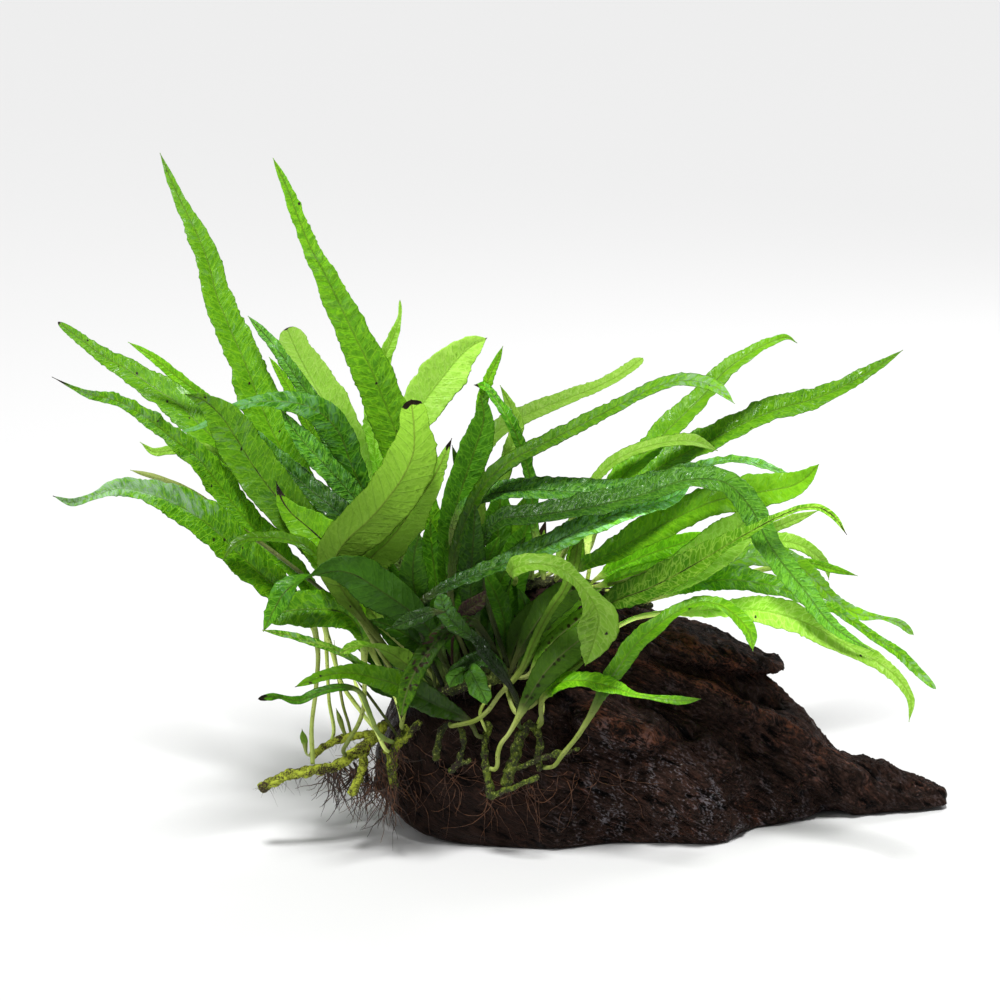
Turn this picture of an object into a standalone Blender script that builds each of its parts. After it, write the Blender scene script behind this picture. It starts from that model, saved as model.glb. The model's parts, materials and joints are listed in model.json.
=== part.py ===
"""A java fern on a piece of driftwood, built piece by piece at its real size.

The wood rests on its flat underside. Creeping rhizomes lie on it and hang over its front, and every
frond, stalk and blade in one, stands on a rhizome. Routes are places in a picture of 1000 by 1000
pixels, seen from EYE, with a depth in millimetres: BACK is away from the eye, and the wood's middle
is at depth 0. Everything is converted to metres, with +Z up and the origin on the resting face.
"""

import math
from dataclasses import dataclass
from typing import NamedTuple

import bmesh
import bpy
import numpy as np
from mathutils import Vector, noise
from mathutils.bvhtree import BVHTree

# Sizes that drive the rest

MM = 0.001
WOOD_LENGTH = 190.0 * MM
WOOD_PIXELS = 573.0
PIXEL = WOOD_LENGTH / WOOD_PIXELS
GAP = 0.3 * MM
SEAT_GAP = 0.5 * MM

STALK_WIDE = 2.0
FROND_THICK = 1.4 * MM
FROND_NARROWEST = 0.8 * MM
THICK_SHARE = 0.62
LEAN_POWER = 1.6
FROND_STATIONS = 15
FOLD_DEGREES = 14.0
FOOT_RISE = 2.4 * MM

# The eye that the routes are drawn from

EYE_DISTANCE = 0.917
EYE_TILT = math.radians(14.0)
AIM = np.array((-0.030, 0.0, 0.112))
AIM_PIXEL = 500.0
FORWARD = np.array((0.0, math.cos(EYE_TILT), -math.sin(EYE_TILT)))
RIGHT = np.array((1.0, 0.0, 0.0))
UP = np.array((0.0, math.sin(EYE_TILT), math.cos(EYE_TILT)))
EYE = AIM - EYE_DISTANCE * FORWARD

# How far apart crossing fronds are eased, and how gently

SETTLE_ROUNDS = 24
SETTLE_RECHECK = 6
SETTLE_FAR = 6.0 * MM
SETTLE_CLEAR = 1.0 * MM
SETTLE_STEP = 2.5 * MM
SKIN_CLEAR = 1.1 * MM
SKIN_REACH = 12.0 * MM
SETTLE_SPREAD = (0.28, 0.6, 0.28)
SETTLE_SMOOTHING = 0.12
EASE_SHARE = 0.5
THICKEST_ON_SIGHT = 3.0 * MM
LEAST_SLANT = 0.4
FOOT_HOLD = (0.0, 0.15, 0.45, 0.8)

TONES = {
    "leaf_bright": (0.27, 0.52, 0.05),
    "leaf_mid": (0.10, 0.33, 0.03),
    "leaf_dark": (0.035, 0.16, 0.03),
    "rhizome": (0.20, 0.28, 0.05),
    "roots": (0.10, 0.035, 0.015),
    "driftwood": (0.030, 0.018, 0.014),
}
FINISH = {
    "leaf_bright": 0.42,
    "leaf_mid": 0.38,
    "leaf_dark": 0.30,
    "rhizome": 0.70,
    "roots": 0.75,
    "driftwood": 0.45,
}


class At(NamedTuple):
    """A place on a frond: pixels right and down, mm back, degrees of turn from the eye, mm wide."""

    right: float
    down: float
    back: float
    turn: float
    wide: float


class Knot(NamedTuple):
    """A place on a rhizome or root: pixels right and down, mm back, mm of radius."""

    right: float
    down: float
    back: float
    radius: float


class Rim(NamedTuple):
    """A place on the wood's skin: pixels down in the picture, mm back."""

    down: float
    back: float


class Under(NamedTuple):
    """A place on the wood's skin that the picture doesn't show: mm back, mm high."""

    back: float
    high: float


@dataclass(frozen=True)
class Rib:
    """One upright section of the wood at a pixel column, from its crest round the front and back."""

    right: float
    crest: Rim
    brow: Rim
    belly: Rim
    toe: Under
    heel: Under
    rear: Under
    nape: Under


@dataclass(frozen=True)
class Stroke:
    """A ridge or hollow on the wood's face, drawn through picture pixels (right, down)."""

    line: tuple
    reach: float
    lift: float


@dataclass(frozen=True)
class Rhizome:
    """A creeping stem: its main run and the branches that join it."""

    name: str
    run: tuple
    branches: tuple = ()


@dataclass(frozen=True)
class Frond:
    """A leaf with its stalk, from its foot on a rhizome to its tip, which can lean mm further back."""

    name: str
    tone: str
    carrier: str
    foot: float
    route: tuple
    fold: float = FOLD_DEGREES
    lean: float = 0.0


# The driftwood: its lower body, then the broken upper layer that overhangs on the right

WOOD_BODY = (
    Rib(377, Rim(748, 3), Rim(754, -5), Rim(770, -9), Under(-6, 15), Under(8, 16), Under(13, 23),
        Under(9, 27)),
    Rib(391, Rim(714, 5), Rim(724, -10), Rim(765, -20), Under(-16, 10), Under(12, 9), Under(21, 24),
        Under(16, 37)),
    Rib(420, Rim(664, 4), Rim(684, -16), Rim(760, -30), Under(-23, 4), Under(20, 1), Under(30, 26),
        Under(21, 50)),
    Rib(460, Rim(620, 4), Rim(652, -15), Rim(755, -33), Under(-25, 0), Under(24, 0), Under(34, 28),
        Under(24, 61)),
    Rib(510, Rim(592, 6), Rim(628, -12), Rim(750, -34), Under(-28, 0), Under(25, 0), Under(36, 30),
        Under(26, 68)),
    Rib(560, Rim(587, 8), Rim(628, -10), Rim(750, -34), Under(-29, 0), Under(25, 0), Under(36, 30),
        Under(26, 71)),
    Rib(610, Rim(606, 10), Rim(650, -8), Rim(755, -32), Under(-24, 0), Under(25, 0), Under(35, 28),
        Under(26, 62)),
    Rib(660, Rim(636, 10), Rim(668, -9), Rim(765, -29), Under(-24, 0), Under(24, 0), Under(33, 28),
        Under(25, 54)),
    Rib(705, Rim(652, 10), Rim(686, -8), Rim(775, -27), Under(-25, 0), Under(24, 0), Under(32, 25),
        Under(24, 47)),
    Rib(726, Rim(659, 11), Rim(696, -6), Rim(780, -23), Under(-22, 0), Under(25, 0), Under(32, 23),
        Under(24, 44)),
    Rib(746, Rim(664, 12), Rim(705, -4), Rim(776, -15), Under(-11, 0), Under(26, 0), Under(32, 21),
        Under(24, 41)),
    Rib(768, Rim(676, 12), Rim(715, -2), Rim(780, -12), Under(-8, 0), Under(26, 0), Under(31, 19),
        Under(24, 36)),
    Rib(784, Rim(694, 12), Rim(724, 0), Rim(784, -10), Under(-5, 0), Under(26, 0), Under(31, 16),
        Under(24, 30)),
    Rib(808, Rim(724, 12), Rim(742, 3), Rim(784, -7), Under(-1, 0), Under(26, 0), Under(30, 12),
        Under(24, 22)),
    Rib(826, Rim(741, 12), Rim(756, 5), Rim(785, -3), Under(4, 2), Under(25, 0), Under(28, 9),
        Under(22, 17)),
    Rib(850, Rim(754, 13), Rim(767, 7), Rim(793, -1), Under(2, 0), Under(24, 0), Under(26, 7),
        Under(21, 14)),
    Rib(885, Rim(765, 14), Rim(778, 9), Rim(796, 2), Under(5, 0), Under(22, 0), Under(24, 6),
        Under(20, 11)),
    Rib(920, Rim(779, 14), Rim(788, 11), Rim(801, 5), Under(6, 0.5), Under(20, 1), Under(21, 4),
        Under(18, 7)),
    Rib(947, Rim(797, 12), Rim(801, 10), Rim(805, 8), Under(9, 1.2), Under(14, 1.5), Under(15.5, 2.6),
        Under(14, 3.6)),
)
WOOD_LAYER = (
    Rib(586, Rim(602, 12), Rim(628, -4), Rim(652, -9), Under(0, 52), Under(26, 48), Under(33, 56),
        Under(28, 68)),
    Rib(622, Rim(609, 12), Rim(630, -5), Rim(656, -10), Under(0, 51), Under(26, 46), Under(34, 55),
        Under(28, 67)),
    Rib(660, Rim(617, 12), Rim(638, -4), Rim(660, -10), Under(1, 51), Under(26, 46), Under(33, 53),
        Under(28, 63)),
    Rib(700, Rim(628, 12), Rim(644, -2), Rim(664, -7), Under(3, 52), Under(26, 45), Under(31, 51),
        Under(26, 59)),
    Rib(735, Rim(644, 12), Rim(651, 0), Rim(664, -3), Under(3, 53), Under(24, 45), Under(29, 50),
        Under(25, 56)),
    Rib(765, Rim(657, 11), Rim(662, 4), Rim(668, 2), Under(6, 51.5), Under(20, 46), Under(24, 48),
        Under(20, 52)),
    Rib(786, Rim(669, 9), Rim(671, 7), Rim(673, 7), Under(8, 50), Under(12, 50), Under(14, 51),
        Under(12, 52)),
)
WOOD_STROKES = (
    Stroke(((585, 640), (662, 664), (713, 690), (790, 730), (850, 776)), 11, 2.6),
    Stroke(((672, 660), (726, 680), (782, 706)), 10, -3.0),
    Stroke(((575, 708), (610, 722), (650, 742)), 20, 5.5),
    Stroke(((590, 762), (640, 770), (680, 752)), 13, -3.0),
    Stroke(((655, 702), (700, 716), (745, 742)), 15, -5.5),
    Stroke(((536, 690), (548, 712), (560, 738)), 14, -5.5),
    Stroke(((640, 790), (700, 812), (722, 832)), 16, 3.0),
    Stroke(((690, 770), (745, 800)), 12, -2.5),
    Stroke(((430, 750), (470, 800), (560, 815)), 18, 2.0),
)
WOOD_COLUMNS = 36
WOOD_ROUND = 25
WOOD_SOLE = 5
STROKE_FADE_HIGH = 9.0 * MM
GRAIN_SIZE = 16.0 * MM
GRAIN_LIFT = 1.6 * MM
GRAIN_FINER = 2.3
GRAIN_SHARE = 0.14
FACING_SHARPNESS = 1.6

# Rhizomes

RHIZOMES = (
    Rhizome(
        "rhizome_left",
        (Knot(260, 789, -32, 2.1), Knot(285, 776, -33, 1.9), Knot(308, 771, -32, 2.0),
         Knot(333, 767, -30, 1.9),
         Knot(356, 753, -27, 1.9), Knot(376, 736, -20, 1.9), Knot(386, 722, -14, 1.7)),
        (
            (Knot(311, 756, -22, 1.4), Knot(329, 743, -21, 1.5), Knot(356, 735, -19, 1.6),
             Knot(378, 733, -18, 1.4)),
            (Knot(351, 794, -36, 1.8), Knot(360, 777, -35, 1.8), Knot(363, 762, -31, 1.6),
             Knot(366, 746, -24, 1.5)),
        ),
    ),
    Rhizome(
        "rhizome_forked",
        (Knot(394, 786, -33, 1.5), Knot(392, 770, -35, 1.8), Knot(393, 755, -35, 1.6),
         Knot(399, 739, -34, 1.5),
         Knot(406, 726, -32, 1.5)),
        (
            (Knot(398, 744, -34, 1.2), Knot(408, 736, -36, 1.3), Knot(421, 721, -36, 1.3)),
            (Knot(393, 758, -35, 1.1), Knot(384, 751, -36, 1.0)),
        ),
    ),
    Rhizome(
        "rhizome_front_left",
        (Knot(436, 759, -39, 1.2), Knot(438, 742, -40, 1.3), Knot(442, 729, -39, 1.3),
         Knot(451, 722, -38, 1.3), Knot(460, 727, -39, 1.2), Knot(464, 741, -40, 1.1),
         Knot(461, 756, -40, 1.1), Knot(451, 772, -40, 1.3)),
        ((Knot(459, 764, -40, 0.9), Knot(470, 760, -42, 0.9)),),
    ),
    Rhizome(
        "rhizome_front_middle",
        (Knot(491, 797, -40, 1.6), Knot(489, 781, -41, 1.4), Knot(485, 763, -41, 1.3),
         Knot(485, 742, -40, 1.4),
         Knot(489, 722, -37, 1.4)),
        ((Knot(492, 796, -40, 1.1), Knot(515, 787, -46, 1.0), Knot(538, 777, -48, 1.0)),),
    ),
    Rhizome(
        "rhizome_front_right",
        (Knot(506, 784, -41, 2.0), Knot(511, 769, -42, 2.1), Knot(515, 757, -42, 2.0),
         Knot(519, 740, -40, 1.9),
         Knot(530, 724, -38, 1.7), Knot(540, 738, -40, 1.4), Knot(538, 754, -41, 1.4),
          Knot(540, 770, -41, 1.4)),
        ((Knot(516, 769, -42, 1.0), Knot(545, 757, -44, 1.0), Knot(579, 749, -43, 0.9)),),
    ),
    Rhizome(
        "rhizome_over_front",
        (Knot(398, 704, -20, 1.9), Knot(430, 694, -30, 2.1), Knot(470, 684, -32, 2.1),
         Knot(510, 674, -30, 2.1),
         Knot(550, 664, -25, 2.0), Knot(590, 652, -20, 1.8)),
    ),
    Rhizome(
        "rhizome_over_top",
        (Knot(416, 652, -6, 1.9), Knot(440, 624, -3, 2.1), Knot(475, 600, 0, 2.1), Knot(520, 586, 4, 2.1),
         Knot(570, 582, 6, 2.0), Knot(620, 596, 8, 1.9), Knot(650, 606, 10, 1.7)),
    ),
    Rhizome(
        "rhizome_behind",
        (Knot(428, 652, 19, 1.8), Knot(470, 618, 22, 2.0), Knot(520, 602, 24, 2.0), Knot(570, 600, 24, 2.0),
         Knot(620, 616, 24, 1.8)),
    ),
)
RHIZOME_SIDES = 7
RHIZOME_SKIP = 10
TUBE_END = 0.5
TUBE_SIDE_HINT = np.array((0.013, 0.0, 0.0))
RHIZOME_STATIONS = 8
BRANCH_STATIONS = 4

# The hair roots' solid: a knot of roots and the ends that hang from it

ROOT_KNOT_STATIONS = 4
ROOT_KNOT_SIDES = 6
ROOT_END_STATIONS = 3
ROOT_END_SIDES = 4
ROOT_KNOT = (Knot(357, 775, -29.7, 1.1), Knot(372, 776, -27, 1.7), Knot(391, 779, -24.3, 1.1))
ROOT_ENDS = (
    (Knot(362, 776, -29, 1.0), Knot(352, 790, -29, 0.6), Knot(345, 803, -30, 0.25)),
    (Knot(366, 776, -28, 1.0), Knot(364, 798, -28, 0.7), Knot(361, 820, -29, 0.25)),
    (Knot(371, 776, -27, 1.0), Knot(373, 800, -26, 0.7), Knot(371, 821, -26, 0.25)),
    (Knot(376, 777, -27, 1.0), Knot(381, 802, -28, 0.7), Knot(383, 826, -29, 0.25)),
    (Knot(382, 778, -26, 1.0), Knot(390, 812, -26, 0.7), Knot(397, 838, -27, 0.25)),
    (Knot(386, 778, -25, 0.9), Knot(398, 800, -28, 0.6), Knot(408, 827, -30, 0.25)),
    (Knot(360, 776, -29, 0.9), Knot(345, 781, -27, 0.6), Knot(331, 806, -27, 0.25)),
)

# Fronds, from those at the back and left to those in front and on the right

FRONDS = (
    Frond("frond_tall_left", "leaf_mid", "rhizome_over_top", 0.07, (
        At(392, 612, -2, 5, 2.4), At(350, 556, 2, 5, 5), At(302, 486, 6, 8, 10),
        At(275, 437, 9, 10, 13.6), At(255, 390, 12, 10, 14), At(240, 350, 14, 10, 12),
        At(220, 305, 17, 8, 10), At(204, 250, 20, 8, 8), At(180, 200, 23, 5, 4.2),
        At(160, 153, 26, 0, 0.9)), lean=22),
    Frond("frond_tall_right", "leaf_mid", "rhizome_over_top", 0.30, (
        At(452, 575, 0, 5, 2.4), At(436, 532, 2, 0, 6), At(415, 482, 4, 0, 12), At(395, 430, 6, -5, 14),
        At(376, 380, 8, -5, 13.4), At(348, 322, 10, -8, 11), At(328, 280, 11, -8, 7.8),
        At(307, 240, 12, -5, 5.6), At(290, 195, 13, -3, 3.6), At(273, 158, 14, 0, 0.9)), lean=-34),
    Frond("frond_upper_left", "leaf_bright", "rhizome_over_top", 0.02, (
        At(388, 615, -6, 15, 2.6), At(348, 560, -6, 20, 5), At(300, 512, -5, 25, 10),
        At(250, 470, -4, 25, 14), At(200, 425, -3, 20, 13.6), At(180, 405, -2, 20, 12.8),
        At(150, 385, 0, 18, 10), At(120, 365, 2, 15, 7.6), At(100, 354, 3, 15, 5.4),
        At(78, 337, 4, 10, 3.4), At(58, 322, 5, 0, 0.9)), lean=30),
    Frond("frond_broad_left", "leaf_bright", "rhizome_over_front", 0.02, (
        At(388, 668, -24, 10, 2.4), At(365, 612, -20, 10, 5), At(330, 562, -16, 10, 10),
        At(290, 512, -13, 10, 14.6), At(260, 476, -11, 5, 15.2), At(240, 444, -10, 5, 15),
        At(224, 420, -10, 0, 12), At(212, 406, -10, 0, 8), At(199, 398, -10, -20, 4),
        At(185, 394, -11, -40, 1)), lean=-14),
    Frond("frond_mid_left", "leaf_mid", "rhizome_left", 0.86, (
        At(345, 690, -24, 20, 2.0), At(333, 655, -22, 20, 2.2), At(320, 612, -19, 20, 3.6),
        At(300, 575, -16, 25, 7), At(255, 530, -14, 30, 10.8), At(215, 480, -14, 30, 11.6),
        At(195, 455, -15, 30, 10), At(172, 438, -16, 30, 8), At(150, 420, -18, 25, 6),
        At(120, 402, -20, 20, 4.2), At(88, 394, -23, 10, 2.8), At(52, 377, -27, 0, 0.9)), lean=-26),
    Frond("frond_low_left", "leaf_mid", "rhizome_left", 0.37, (
        At(312, 718, -33, 10, 2.0), At(318, 665, -31, 10, 2.2), At(312, 622, -29, 15, 3.6),
        At(290, 598, -27, 20, 8), At(265, 578, -27, 25, 12), At(240, 555, -28, 25, 14),
        At(215, 530, -30, 25, 14.6), At(180, 506, -33, 25, 12.6), At(140, 491, -37, 25, 8),
        At(110, 489, -40, 20, 5), At(84, 500, -43, 5, 1.7), At(67, 502, -45, 0, 2.8),
        At(53, 496, -46, 0, 0.9)), lean=-40),
    Frond("frond_arched_dark", "leaf_dark", "rhizome_over_top", 0.18, (
        At(420, 585, -10, -20, 2.2), At(384, 530, -12, -20, 5), At(356, 476, -13, -15, 9),
        At(336, 428, -14, -10, 10.6), At(312, 408, -15, 10, 9.4), At(285, 402, -16, 30, 7.4),
        At(258, 402, -17, 50, 6), At(230, 410, -18, 55, 4.2), At(200, 427, -19, 50, 2.6),
        At(176, 433, -20, 40, 0.9)), lean=6),
    Frond("frond_wrinkled", "leaf_dark", "rhizome_over_front", 0.10, (
        At(395, 620, -24, 10, 2.4), At(372, 563, -20, 12, 5), At(345, 519, -18, 14, 8.4),
        At(312, 491, -16, 15, 8.8), At(281, 465, -15, 15, 8), At(255, 440, -14, 15, 6),
        At(232, 415, -13, 10, 0.9))),
    Frond("frond_wrinkled_short", "leaf_dark", "rhizome_over_top", 0.13, (
        At(410, 585, -13, 10, 2.4), At(386, 542, -14, 10, 5), At(360, 505, -14, 10, 8.2),
        At(330, 470, -14, 15, 8.6), At(302, 440, -14, 15, 7), At(281, 410, -13, 10, 0.9))),
    Frond("frond_dark_narrow", "leaf_dark", "rhizome_over_top", 0.24, (
        At(432, 575, 2, 0, 2.2), At(398, 540, 2, -10, 3), At(365, 500, 1, -15, 5),
        At(330, 440, 0, -15, 6.6), At(315, 405, -1, -15, 6.2), At(293, 372, -1, -20, 5.2),
        At(279, 351, -1, -20, 4.6), At(263, 332, 0, -20, 3.6), At(248, 316, 1, -10, 0.9)), lean=18),
    Frond("frond_blunt", "leaf_bright", "rhizome_behind", 0.08, (
        At(400, 570, 18, 0, 3), At(368, 500, 15, 0, 8), At(345, 440, 14, 0, 14), At(330, 410, 14, 0, 15),
        At(315, 385, 14, 0, 14), At(299, 355, 15, 0, 11), At(287, 328, 16, 0, 4.4)), lean=22),
    Frond("frond_bead_tip", "leaf_bright", "rhizome_behind", 0.20, (
        At(428, 590, 22, 0, 2.4), At(398, 520, 18, 5, 5), At(378, 470, 16, 10, 8),
        At(374, 430, 16, 10, 9), At(378, 390, 16, 15, 7.6), At(386, 353, 16, 20, 4.8),
        At(393, 337, 16, 15, 4), At(399, 320, 16, 0, 1.3), At(400, 309, 16, 0, 1.7),
        At(400, 300, 16, 0, 0.8)), lean=20),
    Frond("frond_centre_bright", "leaf_bright", "rhizome_over_top", 0.40, (
        At(462, 560, 6, 0, 2.2), At(428, 500, 9, 0, 4), At(410, 455, 10, 0, 8), At(416, 414, 11, 0, 13),
        At(434, 389, 12, 0, 16), At(451, 366, 12, 5, 14), At(470, 347, 13, 10, 8),
        At(487, 338, 14, 10, 0.9)), lean=18),
    Frond("frond_front_bright", "leaf_bright", "rhizome_over_front", 0.16, (
        At(392, 655, -36, 180, 2.4), At(358, 612, -38, 180, 4), At(337, 578, -39, 180, 10),
        At(338, 552, -39, 180, 14), At(368, 521, -40, 180, 16.4), At(388, 498, -40, 178, 17),
        At(404, 475, -40, 174, 17), At(414, 449, -40, 168, 15.4), At(414, 424, -39, 160, 9.4),
        At(411, 399, -37, 150, 4))),
    Frond("frond_front_mid", "leaf_mid", "rhizome_over_front", 0.25, (
        At(414, 655, -30, 180, 2.4), At(380, 622, -31, 180, 4), At(362, 590, -31, 180, 9),
        At(368, 562, -31, 180, 13), At(385, 545, -31, 180, 14), At(400, 527, -32, 178, 14),
        At(415, 505, -32, 175, 11), At(429, 486, -32, 170, 8), At(441, 463, -31, 170, 3.8),
        At(452, 438, -29, 170, 0.9))),
    Frond("frond_brown_midrib", "leaf_bright", "rhizome_over_front", 0.07, (
        At(376, 660, -33, 0, 2.4), At(357, 610, -32, 0, 6), At(345, 572, -31, 0, 13),
        At(330, 550, -30, 0, 16.4), At(315, 533, -29, 0, 13.6), At(298, 519, -28, 0, 9.6),
        At(284, 504, -27, 0, 5), At(276, 481, -26, 20, 0.9))),
    Frond("frond_narrow_blunt", "leaf_bright", "rhizome_behind", 0.42, (
        At(500, 575, 28, 0, 2.4), At(482, 515, 27, 0, 4), At(479, 462, 27, -20, 6),
        At(495, 433, 27, -30, 7), At(520, 418, 28, -35, 8), At(552, 404, 29, -40, 7.6),
        At(590, 390, 30, -45, 6.4), At(620, 375, 31, -40, 5.4), At(643, 358, 32, -30, 3)), lean=30),
    Frond("frond_long_arch", "leaf_mid", "rhizome_over_front", 0.44, (
        At(456, 632, -27, -10, 2.4), At(452, 570, -26, -15, 4), At(470, 510, -25, -20, 6),
        At(490, 478, -24, -25, 7), At(520, 455, -23, -30, 7.4), At(560, 436, -22, -30, 7),
        At(600, 415, -21, -35, 7), At(640, 395, -20, -40, 6.6), At(672, 382, -20, -50, 7.6),
        At(700, 382, -20, -45, 7.2), At(720, 390, -20, -30, 5), At(735, 404, -21, -20, 0.9)), lean=-28),
    Frond("frond_dark_curl", "leaf_dark", "rhizome_over_top", 0.54, (
        At(536, 552, -1, 0, 2.2), At(533, 510, -2, 10, 4), At(529, 474, -2, 30, 5),
        At(521, 448, -2, 30, 5), At(513, 428, -2, 35, 4.8), At(503, 410, -1, 40, 4.4),
        At(494, 397, 0, 40, 4), At(484, 386, 1, 30, 3), At(474, 385, 2, 10, 1)), lean=10),
    Frond("frond_centre_broad", "leaf_dark", "rhizome_over_front", 0.38, (
        At(452, 632, -20, 0, 2.6), At(446, 580, -17, 0, 5), At(450, 535, -15, 0, 8.4),
        At(458, 500, -14, 0, 10.4), At(468, 470, -13, 0, 10.8), At(478, 440, -12, 0, 10.6),
        At(484, 417, -11, 0, 6.6), At(480, 395, -10, 0, 0.9))),
    Frond("frond_dark_upright", "leaf_dark", "rhizome_over_front", 0.50, (
        At(478, 628, -32, 0, 2.6), At(471, 596, -34, 0, 7), At(472, 560, -35, 0, 9),
        At(474, 528, -35, 0, 5.4), At(475, 504, -34, 0, 0.9))),
    Frond("frond_narrow_arch", "leaf_bright", "rhizome_over_front", 0.12, (
        At(384, 658, -36, 0, 2.2), At(350, 602, -37, 20, 3), At(325, 564, -36, 30, 4.6),
        At(300, 543, -37, 40, 5), At(270, 538, -39, 45, 5), At(250, 538, -41, 45, 4.6),
        At(235, 544, -43, 40, 3.6), At(223, 561, -45, 20, 1))),
    Frond("frond_silver_twist", "leaf_dark", "rhizome_over_front", 0.35, (
        At(440, 655, -42, 180, 2.6), At(428, 628, -44, 180, 6), At(400, 604, -45, 180, 12.4),
        At(370, 584, -46, 178, 14), At(345, 571, -47, 150, 12), At(322, 573, -48, 118, 9),
        At(302, 580, -49, 70, 8), At(287, 590, -50, 30, 8.4), At(276, 606, -51, 10, 6),
        At(263, 632, -52, 0, 0.9))),
    Frond("frond_round_left", "leaf_mid", "rhizome_left", 0.60, (
        At(362, 715, -33, 0, 2.0), At(364, 668, -34, 0, 2.4), At(362, 636, -35, 5, 5),
        At(347, 615, -36, 10, 10), At(320, 609, -37, 10, 12.4), At(296, 610, -38, 10, 12),
        At(279, 613, -39, 10, 7.6),
        At(266, 618, -40, 10, 2)), lean=-3),
    Frond("frond_narrow_silver", "leaf_dark", "rhizome_forked", 0.92, (
        At(404, 700, -42, 0, 2.0), At(382, 676, -44, 40, 3.8), At(360, 665, -44, 50, 4),
        At(345, 655, -44, 50, 4), At(320, 645, -45, 45, 3.8), At(290, 636, -46, 40, 3),
        At(262, 630, -47, 20, 0.9)), lean=-12),
    Frond("frond_pointing_left", "leaf_bright", "rhizome_front_middle", 0.80, (
        At(470, 722, -44, 0, 2.6), At(450, 711, -46, 0, 6), At(427, 700, -47, 10, 9),
        At(401, 686, -48, 20, 9.8), At(374, 678, -49, 30, 8.4), At(350, 673, -50, 35, 6.4),
        At(329, 675, -51, 35, 4.6), At(310, 681, -52, 30, 3.2), At(295, 687, -53, 20, 0.9)), lean=-18),
    Frond("frond_thin_brown", "leaf_dark", "rhizome_forked", 0.68, (
        At(378, 732, -40, 0, 2.0), At(367, 706, -42, 0, 2.0), At(357, 690, -43, 20, 2.4),
        At(335, 688, -44, 30, 3), At(317, 693, -44, 30, 3), At(298, 701, -45, 20, 2.8),
        At(281, 697, -45, 0, 1.5), At(269, 697, -46, 0, 2.4), At(258, 699, -46, 0, 1.4)), lean=-14),
    Frond("frond_twisted_pale", "leaf_mid", "rhizome_over_front", 0.22, (
        At(428, 690, -48, 0, 2.4), At(411, 668, -50, 150, 7), At(394, 655, -50, 140, 7.6),
        At(375, 647, -51, 100, 6), At(360, 646, -51, 60, 5), At(349, 649, -52, 30, 4),
        At(338, 655, -53, 10, 0.9))),
    Frond("frond_spotted", "leaf_mid", "rhizome_over_front", 0.56, (
        At(490, 642, -42, 20, 2.4), At(472, 622, -48, 30, 4), At(455, 626, -52, 30, 6),
        At(436, 642, -54, 20, 6.6), At(418, 667, -56, 10, 6.6), At(406, 694, -57, 0, 6),
        At(401, 719, -57, 0, 0.9))),
    Frond("frond_twisted_glossy", "leaf_dark", "rhizome_front_right", 0.50, (
        At(518, 704, -46, 0, 2.2), At(508, 683, -50, 0, 3), At(490, 660, -53, 30, 5),
        At(475, 640, -55, 40, 5), At(456, 625, -57, 20, 6), At(445, 610, -58, 0, 6.6),
        At(440, 594, -58, 0, 4))),
    Frond("frond_dark_silver", "leaf_dark", "rhizome_over_front", 0.28, (
        At(424, 640, -40, 0, 2.4), At(420, 606, -42, -20, 3), At(440, 590, -44, -40, 4.6),
        At(480, 573, -46, -45, 7), At(520, 558, -47, -45, 9), At(560, 540, -47, -40, 9.6),
        At(600, 521, -46, -40, 10), At(640, 507, -44, -40, 8), At(670, 500, -42, -30, 6),
        At(693, 480, -40, 10, 1))),
    Frond("frond_upper_silver", "leaf_dark", "rhizome_over_top", 0.36, (
        At(458, 570, -12, -10, 2.4), At(452, 532, -19, -20, 3), At(466, 505, -24, -40, 5),
        At(502, 492, -27, -45, 9), At(560, 491, -28, -45, 11), At(600, 494, -28, -45, 11),
        At(650, 484, -27, -50, 9), At(700, 468, -25, -60, 8), At(728, 461, -24, -65, 6.4),
        At(761, 465, -23, -60, 5.6), At(797, 480, -22, -40, 0.9))),
    Frond("frond_dark_drooping", "leaf_dark", "rhizome_over_front", 0.60, (
        At(486, 600, -32, 0, 2.6), At(480, 548, -36, -20, 3.6), At(500, 520, -38, -45, 8),
        At(545, 515, -39, -45, 10.4), At(600, 505, -39, -45, 11), At(660, 490, -37, -45, 10),
        At(702, 478, -36, -40, 9.6), At(735, 488, -35, -20, 8.4), At(755, 517, -34, 0, 8.4),
        At(772, 549, -34, 0, 8), At(790, 573, -34, 0, 7.6), At(806, 592, -34, 0, 7),
        At(822, 613, -34, 0, 5.6), At(838, 630, -34, 10, 4), At(874, 652, -34, 0, 0.9)), lean=-20),
    Frond("frond_right_upper", "leaf_bright", "rhizome_over_top", 0.72, (
        At(588, 560, 4, 0, 2.2), At(590, 526, 7, -20, 5), At(605, 500, 9, -30, 8),
        At(624, 475, 10, -30, 9.4), At(648, 450, 11, -30, 10), At(680, 418, 13, -30, 9.4),
        At(703, 396, 15, -30, 7.8), At(719, 377, 16, -30, 7.2), At(738, 361, 17, -30, 6.6),
        At(761, 347, 18, -30, 4.6), At(786, 337, 19, -20, 2), At(797, 343, 19, 0, 0.9)), lean=26),
    Frond("frond_right_long", "leaf_mid", "rhizome_behind", 0.66, (
        At(582, 560, 28, 0, 2.4), At(600, 520, 26, -15, 4), At(624, 494, 25, -30, 8),
        At(655, 470, 24, -35, 10), At(700, 446, 25, -35, 11), At(730, 430, 26, -35, 11),
        At(760, 416, 27, -35, 10.6), At(790, 405, 28, -35, 10), At(820, 397, 29, -35, 8.8),
        At(850, 383, 30, -35, 6.6), At(880, 365, 31, -30, 3.6), At(903, 350, 32, -20, 0.9)), lean=34),
    Frond("frond_bright_arch", "leaf_bright", "rhizome_behind", 0.54, (
        At(560, 560, 22, 0, 2.2), At(574, 515, 14, -15, 3), At(590, 487, 9, -30, 4),
        At(605, 469, 7, -40, 4.8), At(625, 455, 6, -45, 5.6), At(650, 446, 5, -50, 6.2),
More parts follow.
